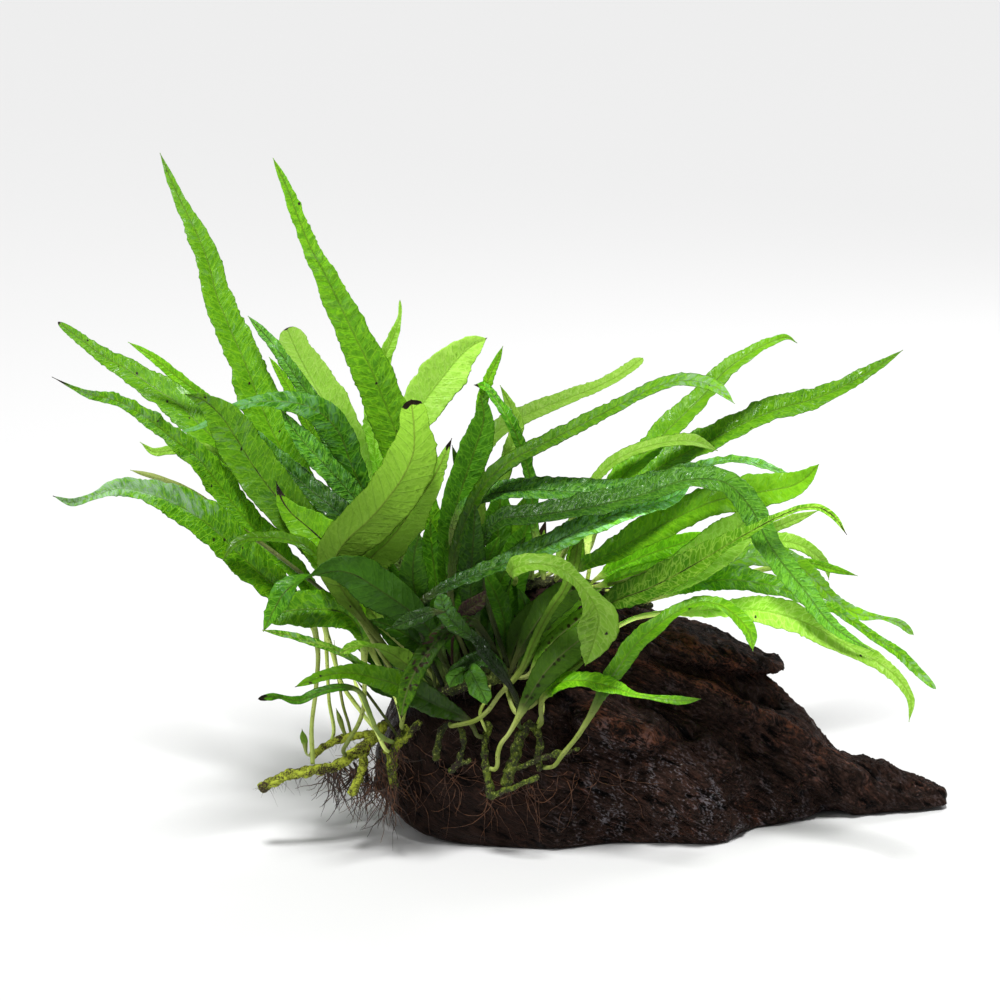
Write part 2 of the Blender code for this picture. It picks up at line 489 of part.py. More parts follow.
        At(680, 441, 4, -50, 6.6), At(704, 444, 3, -40, 4.4), At(718, 451, 2, -20, 0.9)), lean=20),
    Frond("frond_bright_wide", "leaf_bright", "rhizome_over_top", 0.62, (
        At(562, 574, -10, -10, 2.4), At(578, 568, -14, -25, 3.6), At(600, 558, -16, -30, 7),
        At(638, 538, -18, -30, 11), At(670, 521, -20, -30, 11.8), At(715, 501, -22, -25, 11.6),
        At(760, 492, -24, -20, 11.8), At(794, 485, -26, -15, 9), At(809, 475, -27, -10, 4.6),
        At(819, 464, -28, 0, 0.9)), lean=-14),
    Frond("frond_folded_long", "leaf_mid", "rhizome_over_front", 0.90, (
        At(584, 622, -30, -10, 2.6), At(606, 605, -34, -20, 7), At(650, 588, -37, -30, 12),
        At(692, 566, -39, -30, 11.4), At(715, 552, -40, -35, 9), At(738, 539, -41, -40, 6.4),
        At(761, 526, -42, -45, 3.8), At(790, 512, -42, -40, 2.8), At(811, 507, -42, -30, 2.6),
        At(825, 510, -42, -20, 2.4), At(838, 521, -42, 0, 1.9), At(847, 535, -42, 0, 0.9)),
         fold=24.0, lean=-14),
    Frond("frond_wide_behind", "leaf_bright", "rhizome_over_top", 0.84, (
        At(623, 584, -6, 0, 2.4), At(637, 583, -14, -15, 5), At(655, 584, -20, -20, 8.6),
        At(680, 573, -24, -15, 12.4), At(710, 552, -26, -10, 14), At(733, 533, -28, 0, 13),
        At(747, 518, -30, 20, 9), At(756, 507, -32, 50, 3))),
    Frond("frond_low_right", "leaf_dark", "rhizome_over_top", 0.95, (
        At(655, 598, 0, 0, 2.4), At(690, 585, -6, -25, 6), At(718, 580, -9, -30, 9),
        At(745, 581, -11, -30, 9.6), At(780, 588, -13, -30, 7.2), At(802, 597, -14, -30, 5.6),
        At(825, 605, -15, -30, 3.8), At(848, 618, -16, -20, 3.2), At(871, 635, -17, -10, 3.2),
        At(902, 655, -18, 0, 3.4), At(920, 674, -19, 0, 3), At(936, 689, -20, 0, 0.9)), lean=10),
    Frond("frond_silver_right", "leaf_dark", "rhizome_behind", 0.93, (
        At(640, 592, 20, 0, 2.2), At(680, 586, 6, -20, 4), At(711, 573, 0, -30, 7),
        At(734, 561, -3, -35, 9), At(757, 557, -4, -35, 9.2), At(781, 558, -5, -35, 7.6),
        At(803, 568, -6, -25, 6.8), At(817, 583, -7, -10, 5.4), At(831, 597, -8, 0, 4.2),
        At(848, 609, -9, -10, 4.2), At(866, 617, -10, -20, 3.8), At(884, 618, -11, 0, 1.4),
        At(897, 622, -11, 0, 2.6), At(907, 628, -12, 0, 3), At(914, 635, -12, 0, 1.4)), lean=34),
    Frond("frond_light_right", "leaf_bright", "rhizome_behind", 0.80, (
        At(628, 582, 24, 0, 2.2), At(668, 560, 14, -20, 3.4), At(705, 549, 9, -30, 5),
        At(741, 545, 7, -30, 6.6), At(778, 541, 5, -30, 6.2), At(800, 545, 4, -25, 5.4),
        At(815, 554, 3, -10, 4.2), At(826, 566, 2, 0, 2.6), At(829, 580, 2, 0, 0.9)), lean=30),
    Frond("frond_lower_bright", "leaf_bright", "rhizome_over_front", 0.98, (
        At(612, 630, -26, -10, 2.2), At(638, 617, -29, -15, 2.2), At(665, 613, -31, -20, 2.8),
        At(700, 611, -32, -20, 4.6), At(740, 609, -33, -20, 7.2), At(772, 612, -34, -15, 9.8),
        At(800, 621, -35, -10, 9.8), At(833, 637, -36, -10, 7.8), At(864, 655, -37, -10, 6.2),
        At(887, 668, -38, -5, 4.6), At(902, 683, -38, 0, 3.4), At(911, 700, -38, 0, 2.4),
        At(909, 722, -38, 0, 0.9)), lean=-26),
    Frond("frond_arching_front", "leaf_mid", "rhizome_front_right", 0.97, (
        At(560, 757, -46, 0, 2.0), At(576, 738, -48, 0, 2.2), At(591, 714, -49, 0, 3),
        At(603, 691, -49, -10, 4.6), At(617, 670, -48, -20, 6.2), At(630, 651, -47, -25, 7),
        At(648, 633, -46, -30, 6.6), At(668, 618, -45, -35, 6.2), At(690, 605, -44, -40, 5.2),
        At(705, 602, -44, -45, 4.4), At(723, 607, -44, -40, 5.2), At(741, 621, -44, -20, 5.6),
        At(751, 636, -45, 0, 4), At(753, 651, -45, 0, 0.9))),
    Frond("frond_front_low", "leaf_mid", "rhizome_front_right", 0.64, (
        At(541, 704, -44, 0, 2.2), At(547, 692, -46, -20, 4.4), At(562, 682, -48, -40, 6.8),
        At(585, 681, -49, -45, 7.4), At(606, 686, -50, -40, 7.2), At(621, 690, -50, -30, 4.6),
        At(636, 695, -51, -20, 2), At(656, 698, -51, -20, 2), At(681, 701, -51, -20, 3),
        At(701, 699, -51, 0, 0.9)), lean=-16),
    Frond("frond_bright_bent", "leaf_bright", "rhizome_over_top", 0.47, (
        At(516, 580, -12, 0, 2.2), At(513, 576, -26, 0, 2.6), At(511, 573, -40, -10, 4),
        At(515, 568, -50, -25, 6.6), At(529, 564, -55, -40, 8), At(547, 565, -57, -45, 8.4),
        At(566, 572, -58, -42, 7.4),
        At(580, 585, -59, -35, 4.8), At(588, 596, -60, -25, 4.6), At(597, 610, -61, -5, 12),
        At(598, 625, -61, 0, 13.6), At(592, 645, -61, 0, 10), At(585, 666, -61, 0, 1))),
    Frond("frond_pale_stalk", "leaf_mid", "rhizome_front_left", 0.40, (
        At(470, 722, -45, 180, 2.0), At(483, 716, -47, 180, 2.0), At(493, 703, -48, 180, 2.0),
        At(505, 688, -49, 180, 2.2), At(519, 674, -49, 180, 3), At(532, 646, -49, 180, 4.6),
        At(548, 614, -48, 180, 5), At(566, 586, -46, 180, 5.4), At(576, 556, -44, 180, 6.4),
        At(580, 523, -42, 180, 1))),
    Frond("frond_underside", "leaf_mid", "rhizome_front_middle", 0.42, (
        At(499, 748, -45, 180, 2.0), At(512, 729, -47, 180, 2.0), At(524, 706, -47, 180, 4),
        At(547, 670, -47, 180, 9), At(573, 645, -46, 180, 10), At(594, 631, -45, 180, 7),
        At(612, 622, -44, 180, 1))),
    Frond("frond_back_left", "leaf_mid", "rhizome_behind", 0.14, (
        At(440, 610, 36, 180, 2.4), At(420, 560, 46, 180, 6), At(396, 510, 56, 190, 11),
        At(372, 470, 66, 195, 12), At(352, 440, 77, 195, 8), At(345, 425, 86, 190, 0.9))),
    Frond("frond_back_right", "leaf_mid", "rhizome_behind", 0.48, (
        At(552, 572, 38, 180, 2.4), At(566, 540, 48, 170, 6), At(590, 515, 60, 160, 11),
        At(622, 500, 72, 155, 11.6), At(655, 497, 84, 150, 7), At(680, 502, 93, 150, 0.9))),
)


# Places and curves

def place(right, down, back):
    """A picture pixel and a depth in mm, as a point in metres."""
    ray = EYE_DISTANCE * FORWARD + (right - AIM_PIXEL) * PIXEL * RIGHT + (AIM_PIXEL - down) * PIXEL * UP
    return EYE + ray * ((back * MM - EYE[1]) / ray[1])


def picture(points):
    """Points in metres, as picture pixels (right, down)."""
    offsets = np.atleast_2d(points) - EYE
    scale = EYE_DISTANCE / (offsets @ FORWARD) / PIXEL
    return np.stack((AIM_PIXEL + offsets @ RIGHT * scale, AIM_PIXEL - offsets @ UP * scale), axis=1)


def unit(vector):
    """A vector of length one."""
    return vector / max(np.linalg.norm(vector), 1e-12)


def curve_through(rows, steps=20):
    """A smooth curve through rows whose first three values are a place, read closely."""
    spans = np.sqrt(np.linalg.norm(np.diff(rows[:, :3], axis=0), axis=1))
    knots = np.concatenate(([0.0], np.cumsum(spans)))
    slopes = np.gradient(rows, knots, axis=0)
    pieces = []
    for index, span in enumerate(spans):
        share = np.linspace(0.0, 1.0, steps, endpoint=False)[:, None]
        square = share**2
        cube = share**3
        drive = slopes * span
        leaving = rows[index] * (2 * cube - 3 * square + 1) + drive[index] * (cube - 2 * square + share)
        arriving = rows[index + 1] * (3 * square - 2 * cube) + drive[index + 1] * (cube - square)
        pieces.append(leaving + arriving)
    pieces.append(rows[-1:])
    return np.concatenate(pieces)


def stations(curve, count, bend_weight=0.35):
    """Read a close curve at a few places, nearer together where it bends."""
    steps = np.diff(curve[:, :3], axis=0)
    lengths = np.linalg.norm(steps, axis=1)
    headings = steps / lengths[:, None]
    turns = np.zeros(len(lengths))
    turns[1:] = np.arccos(np.clip(np.sum(headings[1:] * headings[:-1], axis=1), -1.0, 1.0))
    measure = lengths / lengths.sum() + bend_weight * turns / max(turns.sum(), 1e-9)
    travelled = np.concatenate(([0.0], np.cumsum(measure)))
    wanted = np.linspace(0.0, travelled[-1], count)
    return np.stack([np.interp(wanted, travelled, column) for column in curve.T], axis=1)


def smoothstep(value):
    """0 to 1 with soft ends."""
    value = np.clip(value, 0.0, 1.0)
    return value * value * (3 - 2 * value)


# Meshes and materials

def material(slot):
    """The plain material of a slot."""
    found = bpy.data.materials.get(slot)
    if found:
        return found
    made = bpy.data.materials.new(slot)
    made.use_nodes = True
    shader = made.node_tree.nodes["Principled BSDF"]
    shader.inputs["Base Color"].default_value = (*TONES[slot], 1.0)
    shader.inputs["Roughness"].default_value = FINISH[slot]
    shader.inputs["Metallic"].default_value = 0.0
    return made


def add_object(name, vertices, faces, slot, smooth=True):
    """A named object from points and faces, with its faces turned out."""
    mesh = bpy.data.meshes.new(name)
    mesh.from_pydata([tuple(map(float, point)) for point in vertices], [], faces)
    solid = bmesh.new()
    solid.from_mesh(mesh)
    bmesh.ops.triangulate(solid, faces=solid.faces[:])
    bmesh.ops.recalc_face_normals(solid, faces=solid.faces[:])
    if solid.calc_volume(signed=True) < 0:
        bmesh.ops.reverse_faces(solid, faces=solid.faces[:])
    solid.to_mesh(mesh)
    solid.free()
    if smooth:
        mesh.shade_smooth()
        mesh.set_sharp_from_angle(angle=math.radians(50.0))
    made = bpy.data.objects.new(name, mesh)
    made.data.materials.append(material(slot))
    bpy.context.scene.collection.objects.link(made)
    return made


def join_solids(main, others):
    """Unite solids into the first of them, and remove the rest."""
    for other in others:
        union = main.modifiers.new("union", "BOOLEAN")
        union.operation = "UNION"
        union.solver = "EXACT"
        union.object = other
    bpy.context.view_layer.update()
    evaluated = main.evaluated_get(bpy.context.evaluated_depsgraph_get())
    united = bpy.data.meshes.new_from_object(evaluated)
    main.modifiers.clear()
    main.data = united
    for other in others:
        bpy.data.objects.remove(other)
    return main


def skin_of(*solids):
    """The skin of one or more objects, ready to be asked for its nearest points."""
    points = []
    faces = []
    for solid in solids:
        first = len(points)
        points.extend(vertex.co.copy() for vertex in solid.data.vertices)
        faces.extend(tuple(first + corner for corner in face.vertices) for face in solid.data.polygons)
    return BVHTree.FromPolygons(points, faces)


def ring_faces(rings, around):
    """Quads between rings of points that follow each other."""
    faces = []
    for ring in range(rings - 1):
        for step in range(around):
            here = ring * around + step
            beside = ring * around + (step + 1) % around
            faces.append((here, beside, beside + around, here + around))
    return faces


# Driftwood

def rib_points(rib):
    """The seven named places of a rib, in metres, from the heel up the back, over the crest to the toe."""
    crest, brow, belly = (place(rib.right, rim.down, rim.back) for rim in (rib.crest, rib.brow, rib.belly))
    unders = (rib.heel, rib.rear, rib.nape, rib.toe)
    heel, rear, nape, toe = (np.array((crest[0], under.back * MM, under.high * MM)) for under in unders)
    return np.array((heel, rear, nape, crest, brow, belly, toe))


def wood_ring(points):
    """A rib's closed ring: a smooth line from heel to toe over the top, and straight underneath."""
    curve = curve_through(points)
    over = stations(curve, WOOD_ROUND - WOOD_SOLE + 1, 0.0)
    shares = np.linspace(0.0, 1.0, WOOD_SOLE, endpoint=False)[1:, None]
    sole = points[-1] + (points[0] - points[-1]) * shares
    return np.concatenate((over, sole))


def wood_loft(name, ribs, columns):
    """A closed body lofted through ribs, nowhere under the floor."""
    shapes = np.array([rib_points(rib) for rib in ribs])
    rows = np.concatenate((shapes[:, 3], shapes.reshape(len(ribs), -1)), axis=1)
    rows[:, 1:3] = 0.0
    read = stations(curve_through(rows), columns, 0.0)[:, 3:].reshape(columns, -1, 3)
    read[:, :, 2] = np.maximum(read[:, :, 2], 0.0)
    rings = [wood_ring(row) for row in read]
    around = len(rings[0])
    points = list(np.concatenate(rings))
    faces = ring_faces(columns, around)
    for end, ring in ((0, rings[0]), ((columns - 1) * around, rings[-1])):
        points.append(ring.mean(axis=0))
        faces.extend((end + step, end + (step + 1) % around, len(points) - 1) for step in range(around))
    middles = [ring.mean(axis=0) for ring in rings]
    worked_points = []
    for index, point in enumerate(points):
        middle = middles[min(index // around, columns - 1)]
        worked_points.append(worked(point, point - middle))
    worked_points = np.array(worked_points)
    worked_points[:, 2] = np.maximum(worked_points[:, 2], 0.0)
    return add_object(name, worked_points, faces, "driftwood", smooth=False)


def line_distance(spot, line):
    """The distance in pixels from a picture place to a line drawn through pixels."""
    nearest = math.inf
    for start, end in zip(line[:-1], line[1:]):
        start = np.array(start, float)
        along = np.array(end, float) - start
        share = np.clip(np.dot(spot - start, along) / np.dot(along, along), 0.0, 1.0)
        nearest = min(nearest, float(np.linalg.norm(spot - start - share * along)))
    return nearest


def worked(point, reach):
    """A point of the wood's skin, moved by the ridges and hollows drawn on its face and by its grain.

    REACH is the way to the point from the middle of its ring: near the wood's ends it limits the grain.
    """
    outward = unit(reach)
    facing = smoothstep(-float(outward @ FORWARD) * FACING_SHARPNESS)
    off_floor = smoothstep(point[2] / STROKE_FADE_HIGH)
    spot = picture(point)[0]
    lift = 0.0
    for stroke in WOOD_STROKES:
        lift += stroke.lift * MM * math.exp(-(line_distance(spot, stroke.line) / stroke.reach) ** 2)
    spot_in_grain = Vector(point) / GRAIN_SIZE
    grain = noise.noise(spot_in_grain) + noise.noise(spot_in_grain * GRAIN_FINER) / 2
    grain_lift = min(GRAIN_LIFT, GRAIN_SHARE * float(np.linalg.norm(reach)))
    moved = point - FORWARD * lift * facing * off_floor
    return moved + outward * grain_lift * grain * off_floor


def build_driftwood():
    """The driftwood, lower body and broken upper layer grown together."""
    body = wood_loft("driftwood", WOOD_BODY, WOOD_COLUMNS)
    layer = wood_loft("driftwood_layer", WOOD_LAYER, WOOD_COLUMNS // 3)
    return join_solids(body, [layer])


# Rhizomes and roots

def knot_rows(knots):
    """Knots as rows of a place and a radius, in metres."""
    return np.array([(*place(knot.right, knot.down, knot.back), knot.radius * MM) for knot in knots])


def seated(rows, wood):
    """Rows moved out of the wood until the rhizome lies on it with a small gap."""
    rows = rows.copy()
    for row in rows:
        for _ in range(3):
            spot, normal, _, distance = wood.find_nearest(Vector(row[:3]))
            inside = (Vector(row[:3]) - spot).dot(normal) < 0
            needed = row[3] + SEAT_GAP
            if inside or distance < needed:
                row[:3] = np.array(spot + normal * needed)
    return rows


def tube(name, rows, count, sides, slot):
    """A closed tube with pointed-round ends along rows of a place and a radius."""
    read = stations(curve_through(rows), count)
    centres = read[:, :3]
    headings = np.gradient(centres, axis=0)
    side = unit(np.cross(headings[0], FORWARD + TUBE_SIDE_HINT))
    points = []
    for centre, heading, radius in zip(centres, headings, read[:, 3]):
        heading = unit(heading)
        side = unit(side - heading * np.dot(side, heading))
        other = np.cross(heading, side)
        for step in range(sides):
            angle = 2 * math.pi * step / sides
            points.append(centre + radius * (math.cos(angle) * side + math.sin(angle) * other))
    faces = ring_faces(count, sides)
    first = centres[0] - unit(headings[0]) * read[0, 3] * TUBE_END
    last = centres[-1] + unit(headings[-1]) * read[-1, 3] * TUBE_END
    for end, centre in ((0, first), ((count - 1) * sides, last)):
        points.append(centre)
        for step in range(sides):
            faces.append((end + step, end + (step + 1) % sides, len(points) - 1))
    return add_object(name, points, faces, slot)


def build_rhizome(rhizome, wood):
    """A rhizome with its branches, seated on the wood, and the close curve of its main run."""
    rows = seated(knot_rows(rhizome.run), wood)
    curve = seated(curve_through(rows), wood)
    count = RHIZOME_STATIONS + len(rhizome.run) // 2
    main = tube(rhizome.name, curve[::RHIZOME_SKIP], count, RHIZOME_SIDES, "rhizome")
    branches = []
    for index, knots in enumerate(rhizome.branches):
        branch_rows = seated(knot_rows(knots), wood)
        name = f"{rhizome.name}_branch_{index + 1}"
        branches.append(tube(name, branch_rows, BRANCH_STATIONS, RHIZOME_SIDES - 1, "rhizome"))
    if branches:
        main = join_solids(main, branches)
    return main, curve


def build_roots():
    """The tuft of hair roots as one solid of its form, down to the roots' ends."""
    knot = tube("roots", knot_rows(ROOT_KNOT), ROOT_KNOT_STATIONS, ROOT_KNOT_SIDES, "roots")
    ends = []
    for index, knots in enumerate(ROOT_ENDS):
        name = f"roots_end_{index + 1}"
        ends.append(tube(name, knot_rows(knots), ROOT_END_STATIONS, ROOT_END_SIDES, "roots"))
    return join_solids(knot, ends)


# Fronds

class Blade:
    """A frond's sections on their way from the drawn route to the settled solid."""

    def __init__(self, frond, foot_rows):
        """Read the frond's route at its stations."""
        route = []
        for index, at in enumerate(frond.route):
            lean = frond.lean * (index / (len(frond.route) - 1)) ** LEAN_POWER
            route.append((*place(at.right, at.down, at.back + lean), at.turn, at.wide * MM))
        rows = np.array([*foot_rows, *route])
        read = stations(curve_through(rows), FROND_STATIONS)
        self.frond = frond
        self.centres = read[:, :3]
        self.turns = np.radians(read[:, 3])
        self.halves = np.maximum(read[:, 4], FROND_NARROWEST) / 2
        self.shift = np.zeros_like(self.centres)
        hold = np.ones(FROND_STATIONS)
        hold[:len(FOOT_HOLD)] = FOOT_HOLD
        self.hold = hold[:, None]
        self.thick = self.thickness()

    def places(self):
        """The settled centres."""
        return self.centres + self.shift

    def frames(self):
        """Across and face directions at every station."""
        centres = self.places()
        headings = np.gradient(centres, axis=0)
        across = []
        faces = []
        last = None
        for centre, heading, turn in zip(centres, headings, self.turns):
            heading = unit(heading)
            level = np.cross(heading, unit(EYE - centre))
            if np.linalg.norm(level) < 0.25 and last is not None:
                level = last - heading * np.dot(last, heading)
            level = unit(level)
            last = level
            rise = np.cross(heading, level)
            sideways = math.cos(turn) * level + math.sin(turn) * rise
            across.append(sideways)
            faces.append(np.cross(sideways, heading))
        return np.array(across), np.array(faces)

    def outline(self):
        """Left edge, middle and right edge at every station."""
        across, faces = self.frames()
        centres = self.places()
        fold = math.radians(self.frond.fold)
        reach = self.halves[:, None]
        raised = faces * reach * math.sin(fold)
        spread = across * reach * math.cos(fold)
        return centres - spread + raised, centres, centres + spread + raised, faces

    def thickness(self):
        """How thick the midrib is at every station."""
        return np.minimum(FROND_THICK, THICK_SHARE * 2 * self.halves)

    def grid(self):
        """Five places across at every station and between stations."""
        left, middle, right, _ = self.outline()
        columns = np.stack((left, (left + middle) / 2, middle, (middle + right) / 2, right), axis=1)
        between = (columns[:-1] + columns[1:]) / 2
        rows = np.empty((2 * FROND_STATIONS - 1, 5, 3))
        rows[0::2] = columns
        rows[1::2] = between
        return rows

    def sheet(self):
        """The blade's middle surface, to be asked what lies on a line of sight."""
        left, middle, right, _ = self.outline()
        points = [Vector(point) for row in zip(left, middle, right) for point in row]
        faces = []
        for step in range(FROND_STATIONS - 1):
            here = 3 * step
            faces.append((here, here + 1, here + 4, here + 3))
            faces.append((here + 1, here + 2, here + 5, here + 4))
        return BVHTree.FromPolygons(points, faces)

    def build(self):
        """The frond's solid: four-cornered sections that end in one point."""
        left, middle, right, faces = self.outline()
        half = self.thickness()[:, None] / 2
        over = middle + faces * half
        under = middle - faces * half
        points = []
        for index in range(FROND_STATIONS - 1):
            points.extend((left[index], over[index], right[index], under[index]))
        points.append(middle[-1])
        solid = ring_faces(FROND_STATIONS - 1, 4)
        solid.append((0, 1, 2, 3))
        last = 4 * (FROND_STATIONS - 2)
        tip = len(points) - 1
        for step in range(4):
            solid.append((last + step, last + (step + 1) % 4, tip))
        return add_object(self.frond.name, points, solid, self.frond.tone)


def foot_rows(frond, curve):
    """The frond's first two rows: standing on its rhizome, then straight up from it."""
    index = int(round(frond.foot * (len(curve) - 1)))
    ahead = curve[min(index + 3, len(curve) - 1), :3]
    behind = curve[max(index - 3, 0), :3]
    run = unit(ahead - behind)
    centre = curve[index, :3]
    first = frond.route[0]
    towards = place(first.right, first.down, first.back) - centre
    outward = unit(towards - run * np.dot(towards, run))
    base = centre + outward * (curve[index, 3] + GAP)
    turn = first.turn
    wide = STALK_WIDE * MM
    return (*base, turn, wide), (*(base + outward * FOOT_RISE), turn, wide)


def sight_runs(blade, other_sheet, other_box):
    """For rows of a blade's places that share lines of sight with another: how far behind it lies."""
    rows = blade.grid()
    spots = picture(rows.reshape(-1, 3)).reshape(rows.shape[0], 5, 2)
    inside = np.all((spots > other_box[0]) & (spots < other_box[1]), axis=2)
    runs = []
    current = []
    for index, row in enumerate(rows):
        hits = []
        for column in np.flatnonzero(inside[index]):
            sight = row[column] - EYE
            reach = float(np.linalg.norm(sight))
            _, _, face, distance = other_sheet.ray_cast(Vector(EYE), Vector(sight / reach))
            if distance is not None:
                hits.append((distance - reach, face // 2))
        if hits:
            current.append((index, hits))
        elif current:
            runs.append(current)
            current = []
    if current:
        runs.append(current)
    return runs


def settle_pair(blade, other, sheet, box, pushes, others_pushes):
    """Note how much the two blades have to part along the line of sight, and say how close they are."""
    closest = math.inf
    for run in sight_runs(blade, sheet, box):
        ahead = sum(gap for _, hits in run for gap, _ in hits) >= 0
        side = 1.0 if ahead else -1.0
        for index, hits in run:
            nearest, segment = min((side * gap, segment) for gap, segment in hits)
            closest = min(closest, nearest)
            station = index / 2
            clear = SETTLE_CLEAR + (blade.thick[int(station)] + other.thick[segment]) / 2
            needed = clear - nearest
            if needed <= 0:
                continue
            for place_index in {int(station), min(int(math.ceil(station)), FROND_STATIONS - 1)}:
                pushes[place_index] += -side * needed / 2, 1
            for place_index in (segment, segment + 1):
                others_pushes[place_index] += side * needed / 2, 1
    return closest


def ease_off(blade, skin):
    """How far each station has to move to stay clear of the wood, the rhizomes and the roots."""
    moves = np.zeros((FROND_STATIONS, 3))
    rows = blade.grid()
    for station in range(1, FROND_STATIONS):
        worst = 0.0
        for point in rows[2 * station, ::2]:
            spot, normal, _, distance = skin.find_nearest(Vector(point), SKIN_REACH)
            if spot is None:
                continue
            height = distance if (Vector(point) - spot).dot(normal) > 0 else -distance
            needed = SKIN_CLEAR - height
            if needed > worst:
                worst = needed
                moves[station] = np.array(normal) * needed
    return moves


def settle(blades, skin):
    """Part the crossing fronds along the line of sight, a little at a time, and keep their feet."""
    closeness = {}
    for settling in range(SETTLE_ROUNDS):
        sheets = [blade.sheet() for blade in blades]
        boxes = []
        for blade in blades:
            spots = picture(blade.grid().reshape(-1, 3))
            boxes.append((spots.min(axis=0) - 1, spots.max(axis=0) + 1))
            _, faces = blade.frames()
            slant = np.abs(faces @ FORWARD)
            on_sight = blade.thickness() / np.maximum(slant, LEAST_SLANT)
            blade.thick = np.minimum(on_sight, THICKEST_ON_SIGHT)
        pushes = [np.zeros((FROND_STATIONS, 2)) for _ in blades]
        for one, blade in enumerate(blades):
            for two, other in enumerate(blades):
                apart = np.any(boxes[one][0] > boxes[two][1]) or np.any(boxes[two][0] > boxes[one][1])
                resting = settling % SETTLE_RECHECK and closeness.get((one, two), 0.0) > SETTLE_FAR
                if one == two or apart or resting:
                    continue
                closeness[one, two] = settle_pair(
                    blade, other, sheets[two], boxes[two], pushes[one], pushes[two])
        for blade, push in zip(blades, pushes):
            amount = push[:, 0] / np.maximum(push[:, 1], 1)
            amount = np.convolve(np.pad(amount, 1, mode="edge"), SETTLE_SPREAD, mode="valid")
            amount = np.clip(amount, -SETTLE_STEP, SETTLE_STEP)
            sights = blade.places() - EYE
            sights /= np.linalg.norm(sights, axis=1)[:, None]
            blade.shift += sights * amount[:, None] * blade.hold
            blade.shift += ease_off(blade, skin) * EASE_SHARE * blade.hold
            middle = (blade.shift[:-2] + blade.shift[2:]) / 2
            blade.shift[1:-1] += SETTLE_SMOOTHING * (middle - blade.shift[1:-1])


def main():
    """Clear the scene and build every piece."""
    for old in list(bpy.data.objects):
        bpy.data.objects.remove(old)
    wood = build_driftwood()
    wood_skin = skin_of(wood)
    curves = {}
    solids = [wood, build_roots()]
    for rhizome in RHIZOMES:
        made, curve = build_rhizome(rhizome, wood_skin)
        curves[rhizome.name] = curve
        solids.append(made)
    blades = [Blade(frond, foot_rows(frond, curves[frond.carrier])) for frond in FRONDS]
    settle(blades, skin_of(*solids))
    for blade in blades:
        blade.build()


main()
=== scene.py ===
"""The looks of a java fern on driftwood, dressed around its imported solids.

Every frond, rhizome, root tuft and the wood itself is a finer mesh that stands in the place of its
solid. Small leaves and hair roots, which the solids leave out, sit on what carries them. Lengths are
in metres, and a value whose name ends in _mm is in millimetres.
"""

import json
import logging
import math
from dataclasses import dataclass, field
from enum import Enum

import bpy
import numpy as np
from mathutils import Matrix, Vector, noise
from mathutils.bvhtree import BVHTree

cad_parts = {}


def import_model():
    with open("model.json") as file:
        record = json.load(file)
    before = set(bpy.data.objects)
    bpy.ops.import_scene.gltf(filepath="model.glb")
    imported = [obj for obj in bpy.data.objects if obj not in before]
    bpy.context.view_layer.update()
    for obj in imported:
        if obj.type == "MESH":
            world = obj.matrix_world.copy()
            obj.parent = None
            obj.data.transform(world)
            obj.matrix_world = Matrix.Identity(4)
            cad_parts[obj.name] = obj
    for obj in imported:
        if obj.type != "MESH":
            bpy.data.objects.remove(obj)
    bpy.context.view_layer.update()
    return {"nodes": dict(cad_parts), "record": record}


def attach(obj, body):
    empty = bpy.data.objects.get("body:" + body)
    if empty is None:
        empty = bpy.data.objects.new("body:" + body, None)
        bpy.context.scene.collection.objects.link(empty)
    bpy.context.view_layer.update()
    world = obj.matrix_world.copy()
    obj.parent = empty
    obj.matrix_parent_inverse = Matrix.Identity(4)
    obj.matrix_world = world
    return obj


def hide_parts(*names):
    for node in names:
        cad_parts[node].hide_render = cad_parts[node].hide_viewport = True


LOG = logging.getLogger("java_fern")
MM = 0.001
BODY = "root"


# Small sums that several classes share

def unit(vectors: np.ndarray) -> np.ndarray:
    """Scale one vector, or rows of vectors, to length one."""
    return vectors / np.maximum(np.linalg.norm(vectors, axis=-1, keepdims=True), 1e-12)


def smoothstep(value: np.ndarray | float, low: float = 0.0, high: float = 1.0) -> np.ndarray:
    """Rise softly from 0 at the low value to 1 at the high one."""
    share = np.clip((np.asarray(value, float) - low) / (high - low), 0.0, 1.0)
    return share * share * (3.0 - 2.0 * share)


def wander(values: np.ndarray, seed: float) -> np.ndarray:
    """Read smooth noise of about -1 to 1 along the seed's line, where 1 is about one bump."""
    flat = [noise.noise(Vector((value, seed, seed * 0.37))) for value in np.ravel(values)]
    return np.reshape(flat, np.shape(values)) * 1.6


def field_noise(points: np.ndarray, size: float, shift: float = 0.0) -> np.ndarray:
    """Read smooth noise of about -1 to 1, with bumps of a size, for each row of points."""
    moved = points / size + shift
    return np.array([noise.noise(Vector(point)) for point in moved]) * 1.6


def curve_rows(rows: np.ndarray, knots: np.ndarray, wanted: np.ndarray) -> np.ndarray:
    """Read rows at places between them, on a smooth curve.

    Args:
        rows: One row of values for each knot.
        knots: The rows' places, rising.
        wanted: The places to read.
    Returns:
        One row for each wanted place.
    """
    slopes = np.gradient(rows, knots, axis=0)
    index = np.clip(np.searchsorted(knots, wanted, side="right") - 1, 0, len(knots) - 2)
    span = (knots[index + 1] - knots[index])[:, None]
    share = ((wanted - knots[index]) / span[:, 0])[:, None]
    square = share**2
    cube = share**3
    leaving = rows[index] * (2 * cube - 3 * square + 1) + slopes[index] * span * (cube - 2 * square + share)
    arriving = rows[index + 1] * (3 * square - 2 * cube) + slopes[index + 1] * span * (cube - square)
    return leaving + arriving


def lengths_along(points: np.ndarray) -> np.ndarray:
    """Measure how far along a line each of its points is."""
    return np.concatenate(([0.0], np.cumsum(np.linalg.norm(np.diff(points, axis=0), axis=1))))


# Meshes and pieces

